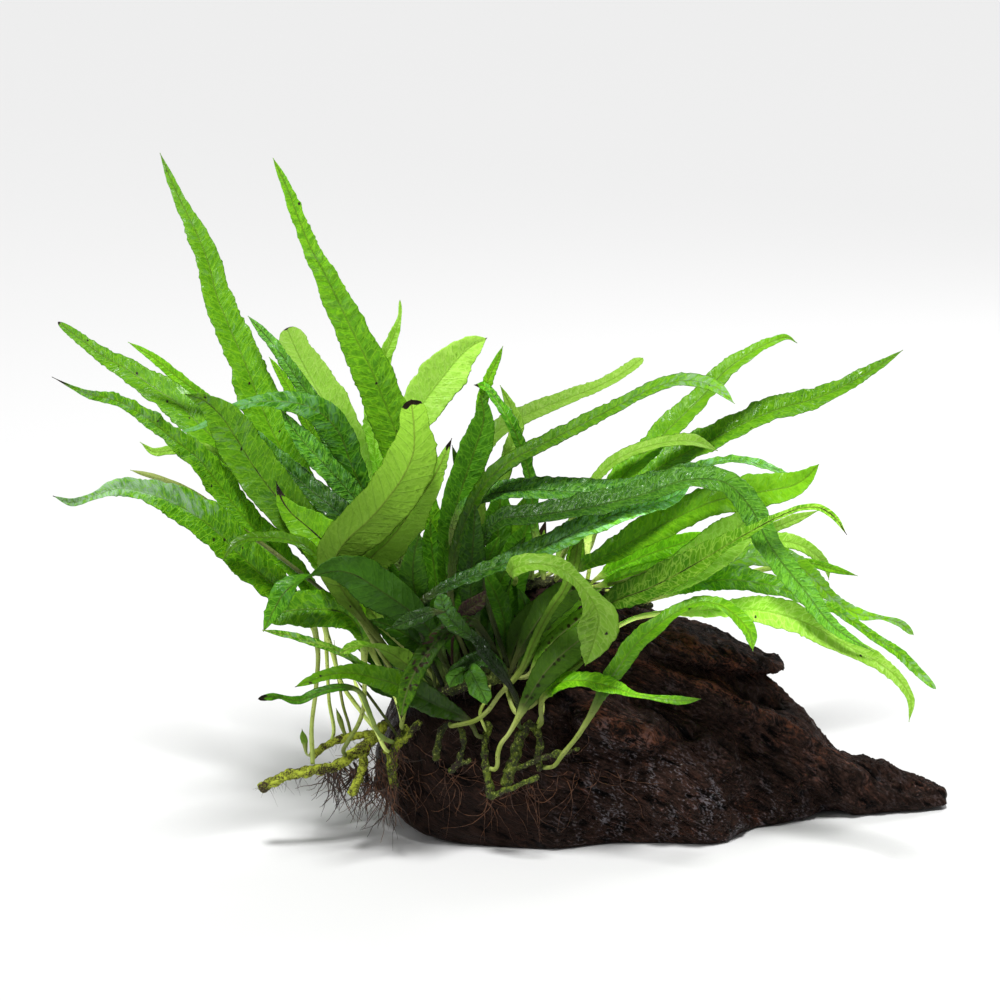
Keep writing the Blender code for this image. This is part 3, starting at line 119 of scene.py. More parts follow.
def new_object(name: str, points: np.ndarray, faces: list[tuple[int, ...]]) -> bpy.types.Object:
    """Make a smooth object of points and faces.

    Args:
        name: Its name.
        points: Rows of points.
        faces: The numbers of each face's points, in order around it.
    Returns:
        The object.
    """
    mesh = bpy.data.meshes.new(name)
    mesh.from_pydata(points.tolist(), [], faces)
    mesh.shade_smooth()
    made = bpy.data.objects.new(name, mesh)
    bpy.context.scene.collection.objects.link(made)
    return made


def read_mesh(made: bpy.types.Object) -> tuple[np.ndarray, np.ndarray]:
    """Read a mesh's points and its normals there.

    Args:
        made: The object.
    Returns:
        Rows of points and rows of normals.
    """
    count = len(made.data.vertices)
    points = np.empty(count * 3, np.float32)
    normals = np.empty(count * 3, np.float32)
    made.data.vertices.foreach_get("co", points)
    made.data.vertex_normals.foreach_get("vector", normals)
    return points.reshape(-1, 3).astype(float), normals.reshape(-1, 3).astype(float)


def write_points(made: bpy.types.Object, points: np.ndarray) -> None:
    """Move a mesh's points."""
    made.data.vertices.foreach_set("co", points.astype(np.float32).ravel())
    made.data.update()


def write_attribute(made: bpy.types.Object, name: str, *layers: np.ndarray) -> None:
    """Write three layers of numbers, one of each for a point, into a mesh."""
    attribute = made.data.attributes.new(name, "FLOAT_VECTOR", "POINT")
    attribute.data.foreach_set("vector", np.stack(layers, axis=-1).astype(np.float32).ravel())


def skin_of(made: bpy.types.Object) -> BVHTree:
    """Make a tree of an object's faces, to be asked for its nearest points."""
    points = [vertex.co.copy() for vertex in made.data.vertices]
    return BVHTree.FromPolygons(points, [tuple(face.vertices) for face in made.data.polygons])


def hand_over(made: bpy.types.Object, material: bpy.types.Material, node: str = "") -> None:
    """Give a piece its material and its body, and put it in its solid's place.

    Args:
        made: The piece.
        material: Its material.
        node: The solid that it stands for, if there is one.
    """
    made.data.materials.append(material)
    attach(made, BODY)
    if node:
        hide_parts(node)
    LOG.info("%s: %d faces", made.name, len(made.data.polygons))


# The photograph's eye

@dataclass(frozen=True)
class Eye:
    """The place that the plant is seen from, and the picture of 1000 by 1000 pixels that it gives.

    Args:
        distance: From the eye to the point it aims at.
        tilt_degrees: How far it looks down.
        aim: The point in the middle of the picture.
        wood_length: The driftwood's real length.
        wood_pixels: The driftwood's length in the picture.
        picture: The picture's width in pixels.
        sensor_mm: The camera's sensor.
        clip_start: From which distance on the camera sees.
    """

    distance: float = 0.917
    tilt_degrees: float = 14.0
    aim: tuple[float, float, float] = (-0.030, 0.0, 0.112)
    wood_length: float = 0.190
    wood_pixels: float = 573.0
    picture: float = 1000.0
    sensor_mm: float = 36.0
    clip_start: float = 0.01

    @property
    def pixel(self) -> float:
        """The size of a pixel at the aim."""
        return self.wood_length / self.wood_pixels

    @property
    def forward(self) -> np.ndarray:
        """The way the eye looks."""
        tilt = math.radians(self.tilt_degrees)
        return np.array((0.0, math.cos(tilt), -math.sin(tilt)))

    @property
    def up(self) -> np.ndarray:
        """The picture's upward way."""
        tilt = math.radians(self.tilt_degrees)
        return np.array((0.0, math.sin(tilt), math.cos(tilt)))

    @property
    def place(self) -> np.ndarray:
        """Where the eye is."""
        return np.array(self.aim) - self.distance * self.forward

    def point(self, right: float, down: float, back_mm: float) -> np.ndarray:
        """Find the point behind a pixel.

        Args:
            right: Pixels from the picture's left.
            down: Pixels from its top.
            back_mm: How far back the point is from the wood's middle.
        Returns:
            The point.
        """
        middle = self.picture / 2
        aside = (right - middle) * self.pixel * np.array((1.0, 0.0, 0.0))
        ray = self.distance * self.forward + aside + (middle - down) * self.pixel * self.up
        return self.place + ray * ((back_mm * MM - self.place[1]) / ray[1])

    def pixels(self, points: np.ndarray) -> np.ndarray:
        """Find where points show in the picture.

        Args:
            points: Rows of points.
        Returns:
            Rows of pixels right and down.
        """
        offsets = points - self.place
        scale = self.distance / (offsets @ self.forward) / self.pixel
        middle = self.picture / 2
        return np.stack((middle + offsets[:, 0] * scale, middle - offsets @ self.up * scale), axis=1)

    def camera(self) -> bpy.types.Object:
        """Make the camera of this eye.

        Returns:
            The camera.
        """
        data = bpy.data.cameras.new("eye")
        data.sensor_width = self.sensor_mm
        data.lens = self.sensor_mm * self.distance / (self.picture * self.pixel)
        data.clip_start = self.clip_start
        made = bpy.data.objects.new("eye", data)
        made.location = self.place
        made.rotation_euler = Vector(self.forward).to_track_quat("-Z", "Y").to_euler()
        bpy.context.scene.collection.objects.link(made)
        bpy.context.scene.camera = made
        return made


# Shader maths as Python expressions

Number = "float | Value"
Colour = tuple[float, float, float]


class Value:
    """A shader value, with Python's operators in place of Math nodes."""

    def __init__(self, paint: "Paint", socket: bpy.types.NodeSocket | None) -> None:
        """Wrap an output socket of a material, if there is one."""
        self.paint = paint
        self.socket = socket

    def beside(self, output: int) -> "Value":
        """Return another output of the same node."""
        return Value(self.paint, self.socket.node.outputs[output])

    def sum(self, operation: str, *others: Number) -> "Value":
        """Add a Math node that takes this value and the others."""
        return self.paint.add("ShaderNodeMath", {"operation": operation}, dict(enumerate((self, *others))))

    def __add__(self, other: Number) -> "Value":
        """Add."""
        return self.sum("ADD", other)

    __radd__ = __add__

    def __sub__(self, other: Number) -> "Value":
        """Subtract."""
        return self.sum("SUBTRACT", other)

    def __rsub__(self, other: float) -> "Value":
        """Subtract this from a number."""
        return self.sum("MULTIPLY_ADD", -1.0, other)

    def __mul__(self, other: Number) -> "Value":
        """Multiply."""
        return self.sum("MULTIPLY", other)

    __rmul__ = __mul__

    def __abs__(self) -> "Value":
        """Take the size without the sign."""
        return self.sum("ABSOLUTE")

    def fraction(self) -> "Value":
        """Keep what follows the point."""
        return self.sum("FRACT")

    def most(self, other: Number) -> "Value":
        """Take the larger of two."""
        return self.sum("MAXIMUM", other)

    def least(self, other: Number) -> "Value":
        """Take the smaller of two."""
        return self.sum("MINIMUM", other)

    def rise(self, low: float, high: float, bottom: float = 0.0, top: float = 1.0) -> "Value":
        """Rise softly from the bottom, where this value is low, to the top, where it is high."""
        places = {0: self, 1: low, 2: high, 3: bottom, 4: top}
        return self.paint.add("ShaderNodeMapRange", {"interpolation_type": "SMOOTHSTEP"}, places)


class Paint:
    """A material and the nodes in it."""

    def __init__(self, name: str) -> None:
        """Start an empty material.

        Args:
            name: The material's name.
        """
        self.material = bpy.data.materials.new(name)
        self.material.use_nodes = True
        self.nodes = self.material.node_tree.nodes
        self.links = self.material.node_tree.links
        self.nodes.clear()

    def add(self, kind: str, settings: dict | None = None, sockets: dict | None = None,
            output: int | str = 0) -> Value:
        """Add a node.

        Args:
            kind: The node's type.
            settings: Its own settings, set first.
            sockets: Values or links of its input sockets, by name or number.
            output: The output socket to return.
        Returns:
            That output, or an empty value where the node has none.
        """
        node = self.nodes.new(kind)
        for name, setting in (settings or {}).items():
            setattr(node, name, setting)
        for name, value in (sockets or {}).items():
            if isinstance(value, Value):
                self.links.new(value.socket, node.inputs[name])
            else:
                node.inputs[name].default_value = value
        return Value(self, node.outputs[output] if node.outputs else None)

    def object_place(self) -> Value:
        """The place on the object, in metres."""
        return self.add("ShaderNodeTexCoord", output="Object")

    def attribute(self, name: str) -> tuple[Value, Value, Value]:
        """Read the three numbers that the mesh holds under a name."""
        return self.split(self.add("ShaderNodeAttribute", {"attribute_name": name}, output="Vector"))

    def split(self, vector: Value) -> tuple[Value, Value, Value]:
        """Part a vector into its three numbers."""
        first = self.add("ShaderNodeSeparateXYZ", None, {0: vector})
        return first, first.beside(1), first.beside(2)

    def join(self, x: Number, y: Number, z: Number) -> Value:
        """Join three numbers into a vector."""
        return self.add("ShaderNodeCombineXYZ", None, {0: x, 1: y, 2: z})

    def scaled(self, colour: Value, factor: Value) -> Value:
        """Make a colour darker or lighter, as a vector times a number."""
        return self.add("ShaderNodeVectorMath", {"operation": "SCALE"}, {0: colour, 3: factor})

    def noise(self, where: Value, scale: float, detail: float = 3.0, roughness: float = 0.55) -> Value:
        """Read noise of about 0 to 1, with a scale of bumps in a metre and finer layers."""
        places = {"Vector": where, "Scale": scale, "Detail": detail, "Roughness": roughness}
        return self.add("ShaderNodeTexNoise", None, places)

    def cells(self, where: Value, scale: float, feature: str = "DISTANCE_TO_EDGE") -> Value:
        """Read the way to the edge, or to another feature, of cells with a scale of cells in a metre."""
        return self.add("ShaderNodeTexVoronoi", {"feature": feature}, {"Vector": where, "Scale": scale})

    def mix(self, first: "Colour | Value", second: "Colour | Value", share: Number) -> Value:
        """Mix two colours.

        Args:
            first: The colour at share 0, as red, green and blue, or a link.
            second: The colour at share 1.
            share: How much of the second shows.
        Returns:
            The mixed colour.
        """
        settings = {"data_type": "RGBA", "blend_type": "MIX", "clamp_factor": True}
        colours = [colour if isinstance(colour, Value) else (*colour, 1.0) for colour in (first, second)]
        return self.add("ShaderNodeMix", settings, {0: share, 6: colours[0], 7: colours[1]}, 2)

    def bump(self, height: Value, distance_mm: float, strength: float = 1.0) -> Value:
        """Turn a height into a bent normal, where a height of 1 is the distance."""
        places = {"Height": height, "Distance": distance_mm * MM, "Strength": strength}
        return self.add("ShaderNodeBump", None, places)

    def shade(self, sockets: dict, glow: Colour | None = None, through: Number = 0.0) -> bpy.types.Material:
        """Finish the material with a Principled shader, and light that comes through it.

        Args:
            sockets: Values and links of the Principled shader.
            glow: The colour of light that comes through, for a thin leaf.
            through: How much of the light comes through.
        Returns:
            The material.
        """
        surface = self.add("ShaderNodeBsdfPrincipled", None, sockets)
        if glow is not None:
            thin = self.add("ShaderNodeBsdfTranslucent", None, {"Color": (*glow, 1.0)})
            surface = self.add("ShaderNodeMixShader", None, {0: through, 1: surface, 2: thin})
        self.add("ShaderNodeOutputMaterial", None, {"Surface": surface})
        return self.material


# Leaf finishes

VEIN_GAP = 3.8 * MM  # the distance between a leaf's side veins


@dataclass(frozen=True)
class LeafFinish:
    """How a kind of leaf looks.

    Args:
        name: The material's name.
        deep: The darker green of the upper side.
        fresh: The lighter green that tint brings in.
        below: The green of the underside.
        rib: The midrib's colour.
        vein: How much lighter the side veins are.
        rough: The upper side's roughness.
        coat: How wet its streaks look.
        through: How much light comes through.
        glow: The colour of that light.
        dots: How strongly dark dots line the midrib.
        rib_show: How strongly the midrib shows.
        relief: How strongly its creases show.
        shine: How strongly it reflects.
        fineness: How fine its creases are.
        relief_mm: How deep its creases are.
        finish_sheen: How much painted sheen it has everywhere: a pale reflection of the light, painted into
            its colour.
        skin: The colour of that painted sheen.
        vein_light: The colour of the net of veins.
        stalk: The stalk's colour.
        stalk_light: The stalk's colour in its lighter patches.
        fleck: The colour of the stalk's flecks.
        dot: The colour of the dots along the midrib.
        scorch: The brown of withered parts.
        char: The darker brown in them.
    """

    name: str
    deep: Colour
    fresh: Colour
    below: Colour
    rib: Colour
    vein: float = 0.35
    rough: float = 0.36
    coat: float = 0.15
    through: float = 0.3
    glow: Colour = (0.30, 0.70, 0.04)
    dots: float = 0.0
    rib_show: float = 0.45
    relief: float = 0.6
    shine: float = 0.22
    fineness: float = 1.0
    relief_mm: float = 0.28
    finish_sheen: float = 0.0
    skin: Colour = (0.240, 0.370, 0.230)
    vein_light: Colour = (0.240, 0.540, 0.012)
    stalk: Colour = (0.32, 0.41, 0.070)
    stalk_light: Colour = (0.50, 0.58, 0.17)
    fleck: Colour = (0.10, 0.045, 0.015)
    dot: Colour = (0.030, 0.018, 0.005)
    scorch: Colour = (0.024, 0.014, 0.006)
    char: Colour = (0.008, 0.006, 0.003)

    def material(self) -> bpy.types.Material:
        """Build the material.

        Returns:
            The material.
        """
        paint = Paint(self.name)
        where = paint.object_place()
        painted_sheen, along, aside = paint.attribute("blade")
        brown, under, tint = paint.attribute("marks")
        stem, phase, tone = paint.attribute("growth_and_light")
        out = abs(aside)
        patches = paint.noise(where, 120.0, 3.0)
        specks = paint.noise(where, 1100.0, 2.0)
        folds = paint.join(phase * (3.0 * MM), out * 0.45, tint * 0.02)
        creases = paint.noise(folds, 650.0 * self.fineness, 3.0, 0.62)
        streaks = paint.noise(folds, 380.0 * self.fineness, 3.0, 0.6)
        sway = (paint.noise(where, 420.0, 2.0) - 0.5) * (2.4 * MM)
        net = paint.cells(paint.join(phase * VEIN_GAP + sway, out * 0.75 - sway, tint * 0.02), 520.0)
        net_line = net.rise(0.01, 0.10, 1.0, 0.0)
        blister = net.rise(0.0, 0.42)
        vein_line = abs(phase.fraction() * 2.0 - 1.0).rise(0.84, 0.98)
        midrib = out.rise(0.12 * MM, 0.34 * MM, 1.0, 0.0)
        # The creases also darken the green in their folds and lighten it on their crests: painted shade and
        # light on the wrinkles, over the leaf's own mottled green.
        share = tint + (patches - 0.5) * 0.7 + (creases - 0.5) * 1.3
        upper = paint.mix(self.deep, self.fresh, share.least(1.0).most(0.0))
        upper = paint.mix(upper, self.vein_light, vein_line * self.vein)
        upper = paint.mix(upper, self.vein_light, net_line * (self.vein * 1.3))
        lower = paint.mix(upper, self.below, 0.65 + (patches - 0.5) * 0.3)
        lower = paint.mix(lower, self.deep, vein_line * 0.25)
        colour = paint.mix(upper, lower, under)
        colour = paint.mix(colour, self.rib, midrib * (1.0 - stem) * self.rib_show)
        if self.dots:
            dot = paint.cells(paint.join(aside, along, tint * 0.01), 480.0, "F1").rise(0.27, 0.38, 1.0, 0.0)
            near = out.rise(0.7 * MM, 1.9 * MM, 1.0, 0.0)
            colour = paint.mix(colour, self.dot, dot * near * (1.0 - stem) * self.dots)
        stalk = paint.mix(self.stalk, self.stalk_light, patches.rise(0.3, 0.7))
        stalk = paint.mix(stalk, self.fleck, specks.rise(0.60, 0.70) * 0.7)
        # Painted sheen: a pale reflection of the light, painted into the colour in streaks on the crests of
        # the creases.
        sheen_total = painted_sheen + self.finish_sheen
        sheen_mask = (streaks + sheen_total * 0.15 - 0.07).rise(0.46, 0.64) * sheen_total.least(0.85).most(0.0)
        sheen_mask = sheen_mask * (1.0 - stem) * (1.0 - net_line * 0.6) * creases.rise(0.36, 0.56, 0.20, 1.0)
        colour = paint.mix(colour, self.skin, sheen_mask)
        torn = (brown + (specks - 0.5) * 0.35).rise(0.35, 0.62)
        scorched = paint.mix(self.scorch, self.char, patches.rise(0.4, 0.6))
        # The tone is painted light and shade: it draws the whole leaf, stalk and all, lighter or darker for
        # how the light falls on it.
        colour = paint.scaled(paint.mix(colour, stalk, stem), tone)
        colour = paint.mix(colour, scorched, torn)
        fine = paint.cells(where, 1700.0, "F1")
        height = creases * 0.8 + fine * 0.2 + blister * 0.60 - vein_line * 0.5 - midrib * 0.5
        wet = streaks.rise(0.40, 0.66, self.rough * 1.3, self.rough * 0.62)
        return paint.shade(
            {
                "Base Color": colour,
                "Roughness": wet + under * 0.10 + stem * 0.12,
                "Normal": paint.bump(height, self.relief_mm, self.relief),
                "Coat Weight": streaks.rise(0.58, 0.68) * self.coat,
                "Coat Roughness": 0.16,
                "Specular IOR Level": self.shine,
            },
            self.glow,
            (1.0 - torn) * self.through,
        )


class Leaf(Enum):
    """The kinds of leaf on this plant."""

    YOUNG = LeafFinish(
        "leaf_young", (0.170, 0.400, 0.014), (0.350, 0.630, 0.070), (0.290, 0.560, 0.090),
        (0.150, 0.280, 0.015), rough=0.50, coat=0.0, glow=(0.42, 0.74, 0.03),
        relief=0.7, shine=0.16, relief_mm=0.26, vein_light=(0.520, 0.780, 0.160))
    FRESH = LeafFinish(
        "leaf_fresh", (0.050, 0.190, 0.002), (0.160, 0.430, 0.008), (0.140, 0.350, 0.016),
        (0.085, 0.120, 0.010), rough=0.34, coat=0.35, through=0.20, glow=(0.20, 0.52, 0.01))
    DARK = LeafFinish(
        "leaf_dark", (0.014, 0.070, 0.001), (0.060, 0.210, 0.005), (0.050, 0.160, 0.010),
        (0.045, 0.050, 0.006), vein=0.30, through=0.12, glow=(0.09, 0.32, 0.01),
        shine=0.12, finish_sheen=0.10, skin=(0.070, 0.170, 0.065), vein_light=(0.110, 0.300, 0.012),
        stalk=(0.110, 0.170, 0.030), stalk_light=(0.170, 0.240, 0.055))
    # This finish paints a strong sheen of reflected light into its colour, beside its wet coat.
    SILVER = LeafFinish(
        "leaf_silver", (0.016, 0.078, 0.003), (0.085, 0.250, 0.014), (0.065, 0.180, 0.014),
        (0.040, 0.065, 0.012), rough=0.30, coat=0.50, through=0.10, glow=(0.08, 0.28, 0.01),
        relief=1.0, shine=0.20, fineness=1.7, relief_mm=0.40, finish_sheen=0.40, skin=(0.110, 0.260, 0.100),
        vein_light=(0.110, 0.290, 0.020), stalk=(0.110, 0.170, 0.030), stalk_light=(0.170, 0.240, 0.055))
    PALE = LeafFinish(
        "leaf_pale", (0.045, 0.160, 0.004), (0.210, 0.450, 0.016), (0.230, 0.440, 0.040),
        (0.120, 0.110, 0.022), vein=0.32, rough=0.50, coat=0.0, through=0.20, glow=(0.28, 0.62, 0.03),
        relief=0.7, shine=0.08, vein_light=(0.380, 0.620, 0.080))
    DOTTED = LeafFinish(
        "leaf_dotted", (0.040, 0.140, 0.003), (0.130, 0.340, 0.010), (0.110, 0.260, 0.016),
        (0.200, 0.250, 0.070), vein=0.30, rough=0.42, coat=0.10, through=0.18, glow=(0.16, 0.42, 0.01),
        shine=0.12, dots=0.95, rib_show=0.8)
    DEAD = LeafFinish(
        "leaf_dead", (0.022, 0.005, 0.004), (0.060, 0.013, 0.009), (0.040, 0.010, 0.007),
        (0.040, 0.012, 0.006), vein=0.10, rough=0.55, coat=0.0, through=0.05, glow=(0.12, 0.03, 0.01),
        stalk=(0.060, 0.020, 0.010), stalk_light=(0.100, 0.040, 0.020))


@dataclass(frozen=True)
class Look:
    """How one leaf looks.

    Args:
        kind: Its finish.
        tint: The share of fresh green at its foot and at its tip.
        wave: How far its margins ripple, in mm.
        quilt: How far it bulges between its side veins, in mm.
        wrinkle: How deep its fine wrinkles are, in mm.
        tip: How round its tip is: 1 is a point.
        brown: How much of its tip is brown, in mm.
        spots: How many dark spots it has.
        ragged: How uneven its outline is.
        tone: Painted light and shade: how much lighter or darker it is drawn at its foot and its tip,
            or at even steps, for how the light falls on it, where 1 leaves its finish as it is.
        stalk: The least that its stalk's painted lightness is.
        slim: Its width as a share of its solid's.
        painted_sheen: How much painted sheen, a pale reflection of the light painted into its colour, it
            has at its foot and at its tip, beyond its finish.
        sheen_side: Which half of it lacks that painted sheen: 1 the right one from its foot, -1 the left
            one.
        rib: How brown its midrib is.
    """

    kind: Leaf
    tint: tuple[float, float] = (0.3, 0.5)
    wave: float = 0.6
    quilt: float = 0.30
    wrinkle: float = 0.10
    tip: float = 1.4
    brown: float = 0.0
    spots: int = 0
    ragged: float = 0.05
    tone: tuple[float, ...] = (1.0, 1.0)
    stalk: float = 0.0
    slim: float = 1.0
    painted_sheen: tuple[float, float] = (0.0, 0.0)
    sheen_side: float = 0.0
    rib: float = 0.0


YOUNG, FRESH, DARK, SILVER, PALE, DOTTED, DEAD = Leaf
# Each look's tone is painted light and shade: it draws a leaf, or its foot or its tip, lighter where light
# falls on it and darker where it lies in shade among the others.
LOOKS = {
    "tall_left": Look(FRESH, (0.35, 0.55), wave=0.5, quilt=0.35, spots=4, ragged=0.12,
        tone=(1.25, 1.0), painted_sheen=(0.0, 0.3)),
    "tall_right": Look(FRESH, (0.25, 0.65), wave=0.4, quilt=0.5, spots=4, ragged=0.08,
        tone=(1.15, 1.95), painted_sheen=(0.0, 0.1), tip=1.8),
    "upper_left": Look(FRESH, (0.5, 0.35), wave=0.7, quilt=0.25, brown=1.6, spots=12,
        tone=(1.2, 1.0), painted_sheen=(0.0, 0.15), ragged=0.1, tip=2.2),
    "broad_left": Look(FRESH, (0.4, 0.45), wave=0.5, quilt=0.25, spots=3, tone=(0.2, 1.15),
        painted_sheen=(0.35, 0.35), rib=0.7, sheen_side=1),
    "mid_left": Look(FRESH, (0.35, 0.15), wave=1.0, quilt=0.35, brown=7.0, spots=3, ragged=0.16,
        tone=(2.5, 1.35, 1.3, 1.7), painted_sheen=(0.1, 0.6), tip=0.9),
    "low_left": Look(FRESH, (0.2, 0.15), wave=0.8, quilt=0.45, brown=1.5, spots=4, tone=(1.1, 1.75),
        painted_sheen=(-0.4, 3.0), ragged=0.09, sheen_side=-1),
    "arched_dark": Look(DARK, (0.1, 0.15), wave=0.8, quilt=0.35, wrinkle=0.25, tone=(1.3, 2.5),
        painted_sheen=(0.1, 1.3)),
    "wrinkled": Look(SILVER, (0.1, 0.2), wave=0.9, quilt=0.45, wrinkle=0.4,
        tone=(0.1, 0.15, 0.75, 2.4), painted_sheen=(0.1, 0.4)),
    "wrinkled_short": Look(SILVER, (0.05, 0.2), wave=0.9, quilt=0.45, wrinkle=0.4, tone=(0.9, 2.5)),
    "dark_narrow": Look(SILVER, (0.1, 0.35), wave=0.8, quilt=0.35, wrinkle=0.3, ragged=0.1,
        tone=(1.2, 2.3)),
    "blunt": Look(YOUNG, (0.45, 0.95), wave=0.5, tip=3.0, brown=0.8, tone=(2.8, 2.6, 1.15, 0.82),
        ragged=0.09),
    "bead_tip": Look(YOUNG, (0.25, 0.25), quilt=0.2, tip=3.0, tone=(2.1, 1.2)),
    "centre_bright": Look(YOUNG, (0.75, 1.1), wave=0.7, quilt=0.25, brown=0.8, tone=(1.1, 1.5),
        ragged=0.08),
    "front_bright": Look(PALE, (0.45, 0.8), wave=0.5, quilt=0.22, tip=3.5, brown=3.5, spots=3,
        tone=(0.32, 0.33, 0.6, 1.65)),
    "front_mid": Look(PALE, (0.15, 0.2), wave=0.7, quilt=0.2, brown=5.0, spots=2,
        tone=(0.6, 0.95, 1.6, 1.5), rib=0.5),
    "brown_midrib": Look(FRESH, (0.6, 0.7), wave=0.9, quilt=0.15, brown=6.0, spots=2,
        tone=(1.25, 0.95), rib=0.9, tip=0.75),
    "narrow_blunt": Look(YOUNG, (0.2, 0.8), wave=0.4, quilt=0.2, tip=3.5, tone=(0.45, 1.0)),
    "long_arch": Look(FRESH, (0.05, 0.55), wave=0.4, quilt=0.25, spots=1,
        tone=(0.14, 0.2, 0.85, 1.55), painted_sheen=(-0.1, 0.8), slim=0.82, ragged=0.09, rib=0.3),
    "dark_curl": Look(DARK, (0.1, 0.2), wave=0.9, quilt=0.2, brown=3.0, ragged=0.14,
        tone=(3.0, 1.7, 1.6, 4.0)),
    "centre_broad": Look(DARK, (0.35, 0.45), wave=0.4, quilt=0.25, tone=(0.4, 1.0, 1.35, 1.4)),
    "dark_upright": Look(DARK, (0.1, 0.25), quilt=0.25, tone=(0.35, 0.42, 0.45, 0.33)),
    "narrow_arch": Look(FRESH, (0.4, 0.6), wave=0.5, quilt=0.15, tone=(0.65, 0.5)),
    "silver_twist": Look(DARK, (0.1, 0.4), wrinkle=0.15, tone=(0.22, 0.3, 0.9, 1.9),
        painted_sheen=(0.0, 0.3), rib=0.6),
    "round_left": Look(FRESH, (0.2, 0.2), wave=0.7, quilt=0.5, tip=2.5, tone=(0.4, 1.1, 1.2, 0.82),
        painted_sheen=(0.1, 0.1), rib=0.6),
    "narrow_silver": Look(PALE, (0.05, 0.1), wave=0.5, quilt=0.1, ragged=0.1, tone=(0.7, 1.5),
        painted_sheen=(0.3, 0.4), stalk=0.8),
    "pointing_left": Look(FRESH, (0.2, 0.8), wave=0.4, quilt=0.2, brown=0.8, spots=2,
        tone=(0.19, 0.2, 0.38, 0.7)),
    "thin_brown": Look(DARK, (0.45, 0.4), wave=0.5, quilt=0.1, tip=3.0, brown=4.0, ragged=0.14,
        tone=(0.5, 0.6, 1.0, 1.4), stalk=1.4),
    "twisted_pale": Look(PALE, (0.2, 0.35), quilt=0.15, spots=2, tone=(0.3, 1.0), rib=0.4),
    "spotted": Look(DOTTED, (0.25, 0.4), wave=0.7, quilt=0.25, wrinkle=0.2, spots=46, brown=1.5,
        tone=(0.02, 0.05, 0.22, 0.56)),
    "twisted_glossy": Look(SILVER, (0.45, 0.55), wave=0.9, quilt=0.25, wrinkle=0.35, tip=2.5,
        tone=(0.4, 0.06, 0.1, 0.75), ragged=0.14, painted_sheen=(0.0, 0.3)),
    "dark_silver": Look(SILVER, (0.0, 0.3), wave=0.5, wrinkle=0.4, tone=(0.03, 0.4, 1.6, 9.0),
        painted_sheen=(0.2, 0.7)),
    "upper_silver": Look(SILVER, (0.0, 0.25), quilt=0.45, wrinkle=0.45, tone=(2.6, 1.5, 2.0, 3.1),
        painted_sheen=(0.0, 0.4)),
    "dark_drooping": Look(SILVER, (0.0, 0.55), wave=0.7, quilt=0.25, wrinkle=0.15, ragged=0.08,
        tone=(0.15, 0.6, 1.85, 3.1), painted_sheen=(-0.2, -0.1)),
    "right_upper": Look(FRESH, (0.4, 0.95), wave=0.7, quilt=0.35, ragged=0.13,
        tone=(2.8, 1.4, 0.95, 1.4), painted_sheen=(0.1, 0.2)),
    "right_long": Look(FRESH, (0.25, 0.4), wave=0.5, quilt=0.4, wrinkle=0.2, spots=5, ragged=0.1,
        tone=(1.3, 1.0)),
    "bright_arch": Look(YOUNG, (0.1, 0.6), wave=0.5, quilt=0.15),
    "bright_wide": Look(FRESH, (0.05, 1.05), quilt=0.4, tone=(2.4, 1.5, 0.95, 1.6)),
    "folded_long": Look(PALE, (0.05, 0.3), wave=0.5, quilt=0.15, brown=1.5, tone=(0.62, 2.25),
        ragged=0.08, rib=0.7),
    "wide_behind": Look(YOUNG, (0.45, 0.75), wave=0.7, tip=2.5, spots=3, tone=(2.1, 1.6)),
    "low_right": Look(FRESH, (0.1, 0.25), quilt=0.4, wrinkle=0.2, tip=2.0, ragged=0.09,
        tone=(2.6, 1.8, 1.7, 2.3), painted_sheen=(0.3, 0.6)),
    "silver_right": Look(FRESH, (0.45, 0.8), wave=0.7, quilt=0.25, tip=2.5, ragged=0.09,
        tone=(0.9, 2.1), painted_sheen=(0.5, 0.7)),
    "light_right": Look(YOUNG, (0.3, 0.5), quilt=0.2, brown=1.5, tone=(1.5, 1.6)),
    "lower_bright": Look(YOUNG, (0.2, 0.55), quilt=0.25, spots=2, ragged=0.11,
        tone=(4.0, 2.5, 1.35, 1.1)),
    "arching_front": Look(FRESH, (0.25, 0.5), quilt=0.2, spots=1, ragged=0.14, tone=(0.35, 1.8),
        painted_sheen=(0.0, 0.2), stalk=0.75),
    "front_low": Look(FRESH, (0.25, 0.45), wave=0.5, quilt=0.25, ragged=0.1,
        tone=(0.3, 1.4, 1.8, 0.5), stalk=0.6),
    "bright_bent": Look(YOUNG, (0.15, 0.5), wave=0.7, quilt=0.35, tip=1.5, spots=1, tone=(1.0, 0.5),
        painted_sheen=(0.0, 0.1), ragged=0.1),
    "pale_stalk": Look(PALE, (0.1, 0.2), wave=0.3, quilt=0.1, tone=(0.3, 0.8), slim=0.62,
        stalk=0.6),
    "underside": Look(DOTTED, (0.1, 0.3), wave=0.5, quilt=0.15, tone=(0.06, 0.2, 0.42, 0.66),
        stalk=0.85),
    "back_left": Look(FRESH, (0.3, 0.45), quilt=0.35, tone=(0.3, 0.8)),
    "back_right": Look(FRESH, (0.25, 0.5), quilt=0.35),
}


@dataclass(frozen=True)
class Sprig:
    """A small leaf that has no solid, drawn in the picture.

    Args:
        name: Its name.
        carrier: The solid that it stands on.
        look: How it looks.
        foot: Where it stands: pixels right and down, and mm back.
        route: From its foot on, pixels right and down, mm back, and mm wide.
        turn: How many degrees it turns away from the eye, or a number for each row of its route.
    """

    name: str
    carrier: str
    look: Look
    foot: tuple[float, float, float]
    route: tuple[tuple[float, float, float, float], ...]
    turn: float | tuple[float, ...] = 0.0


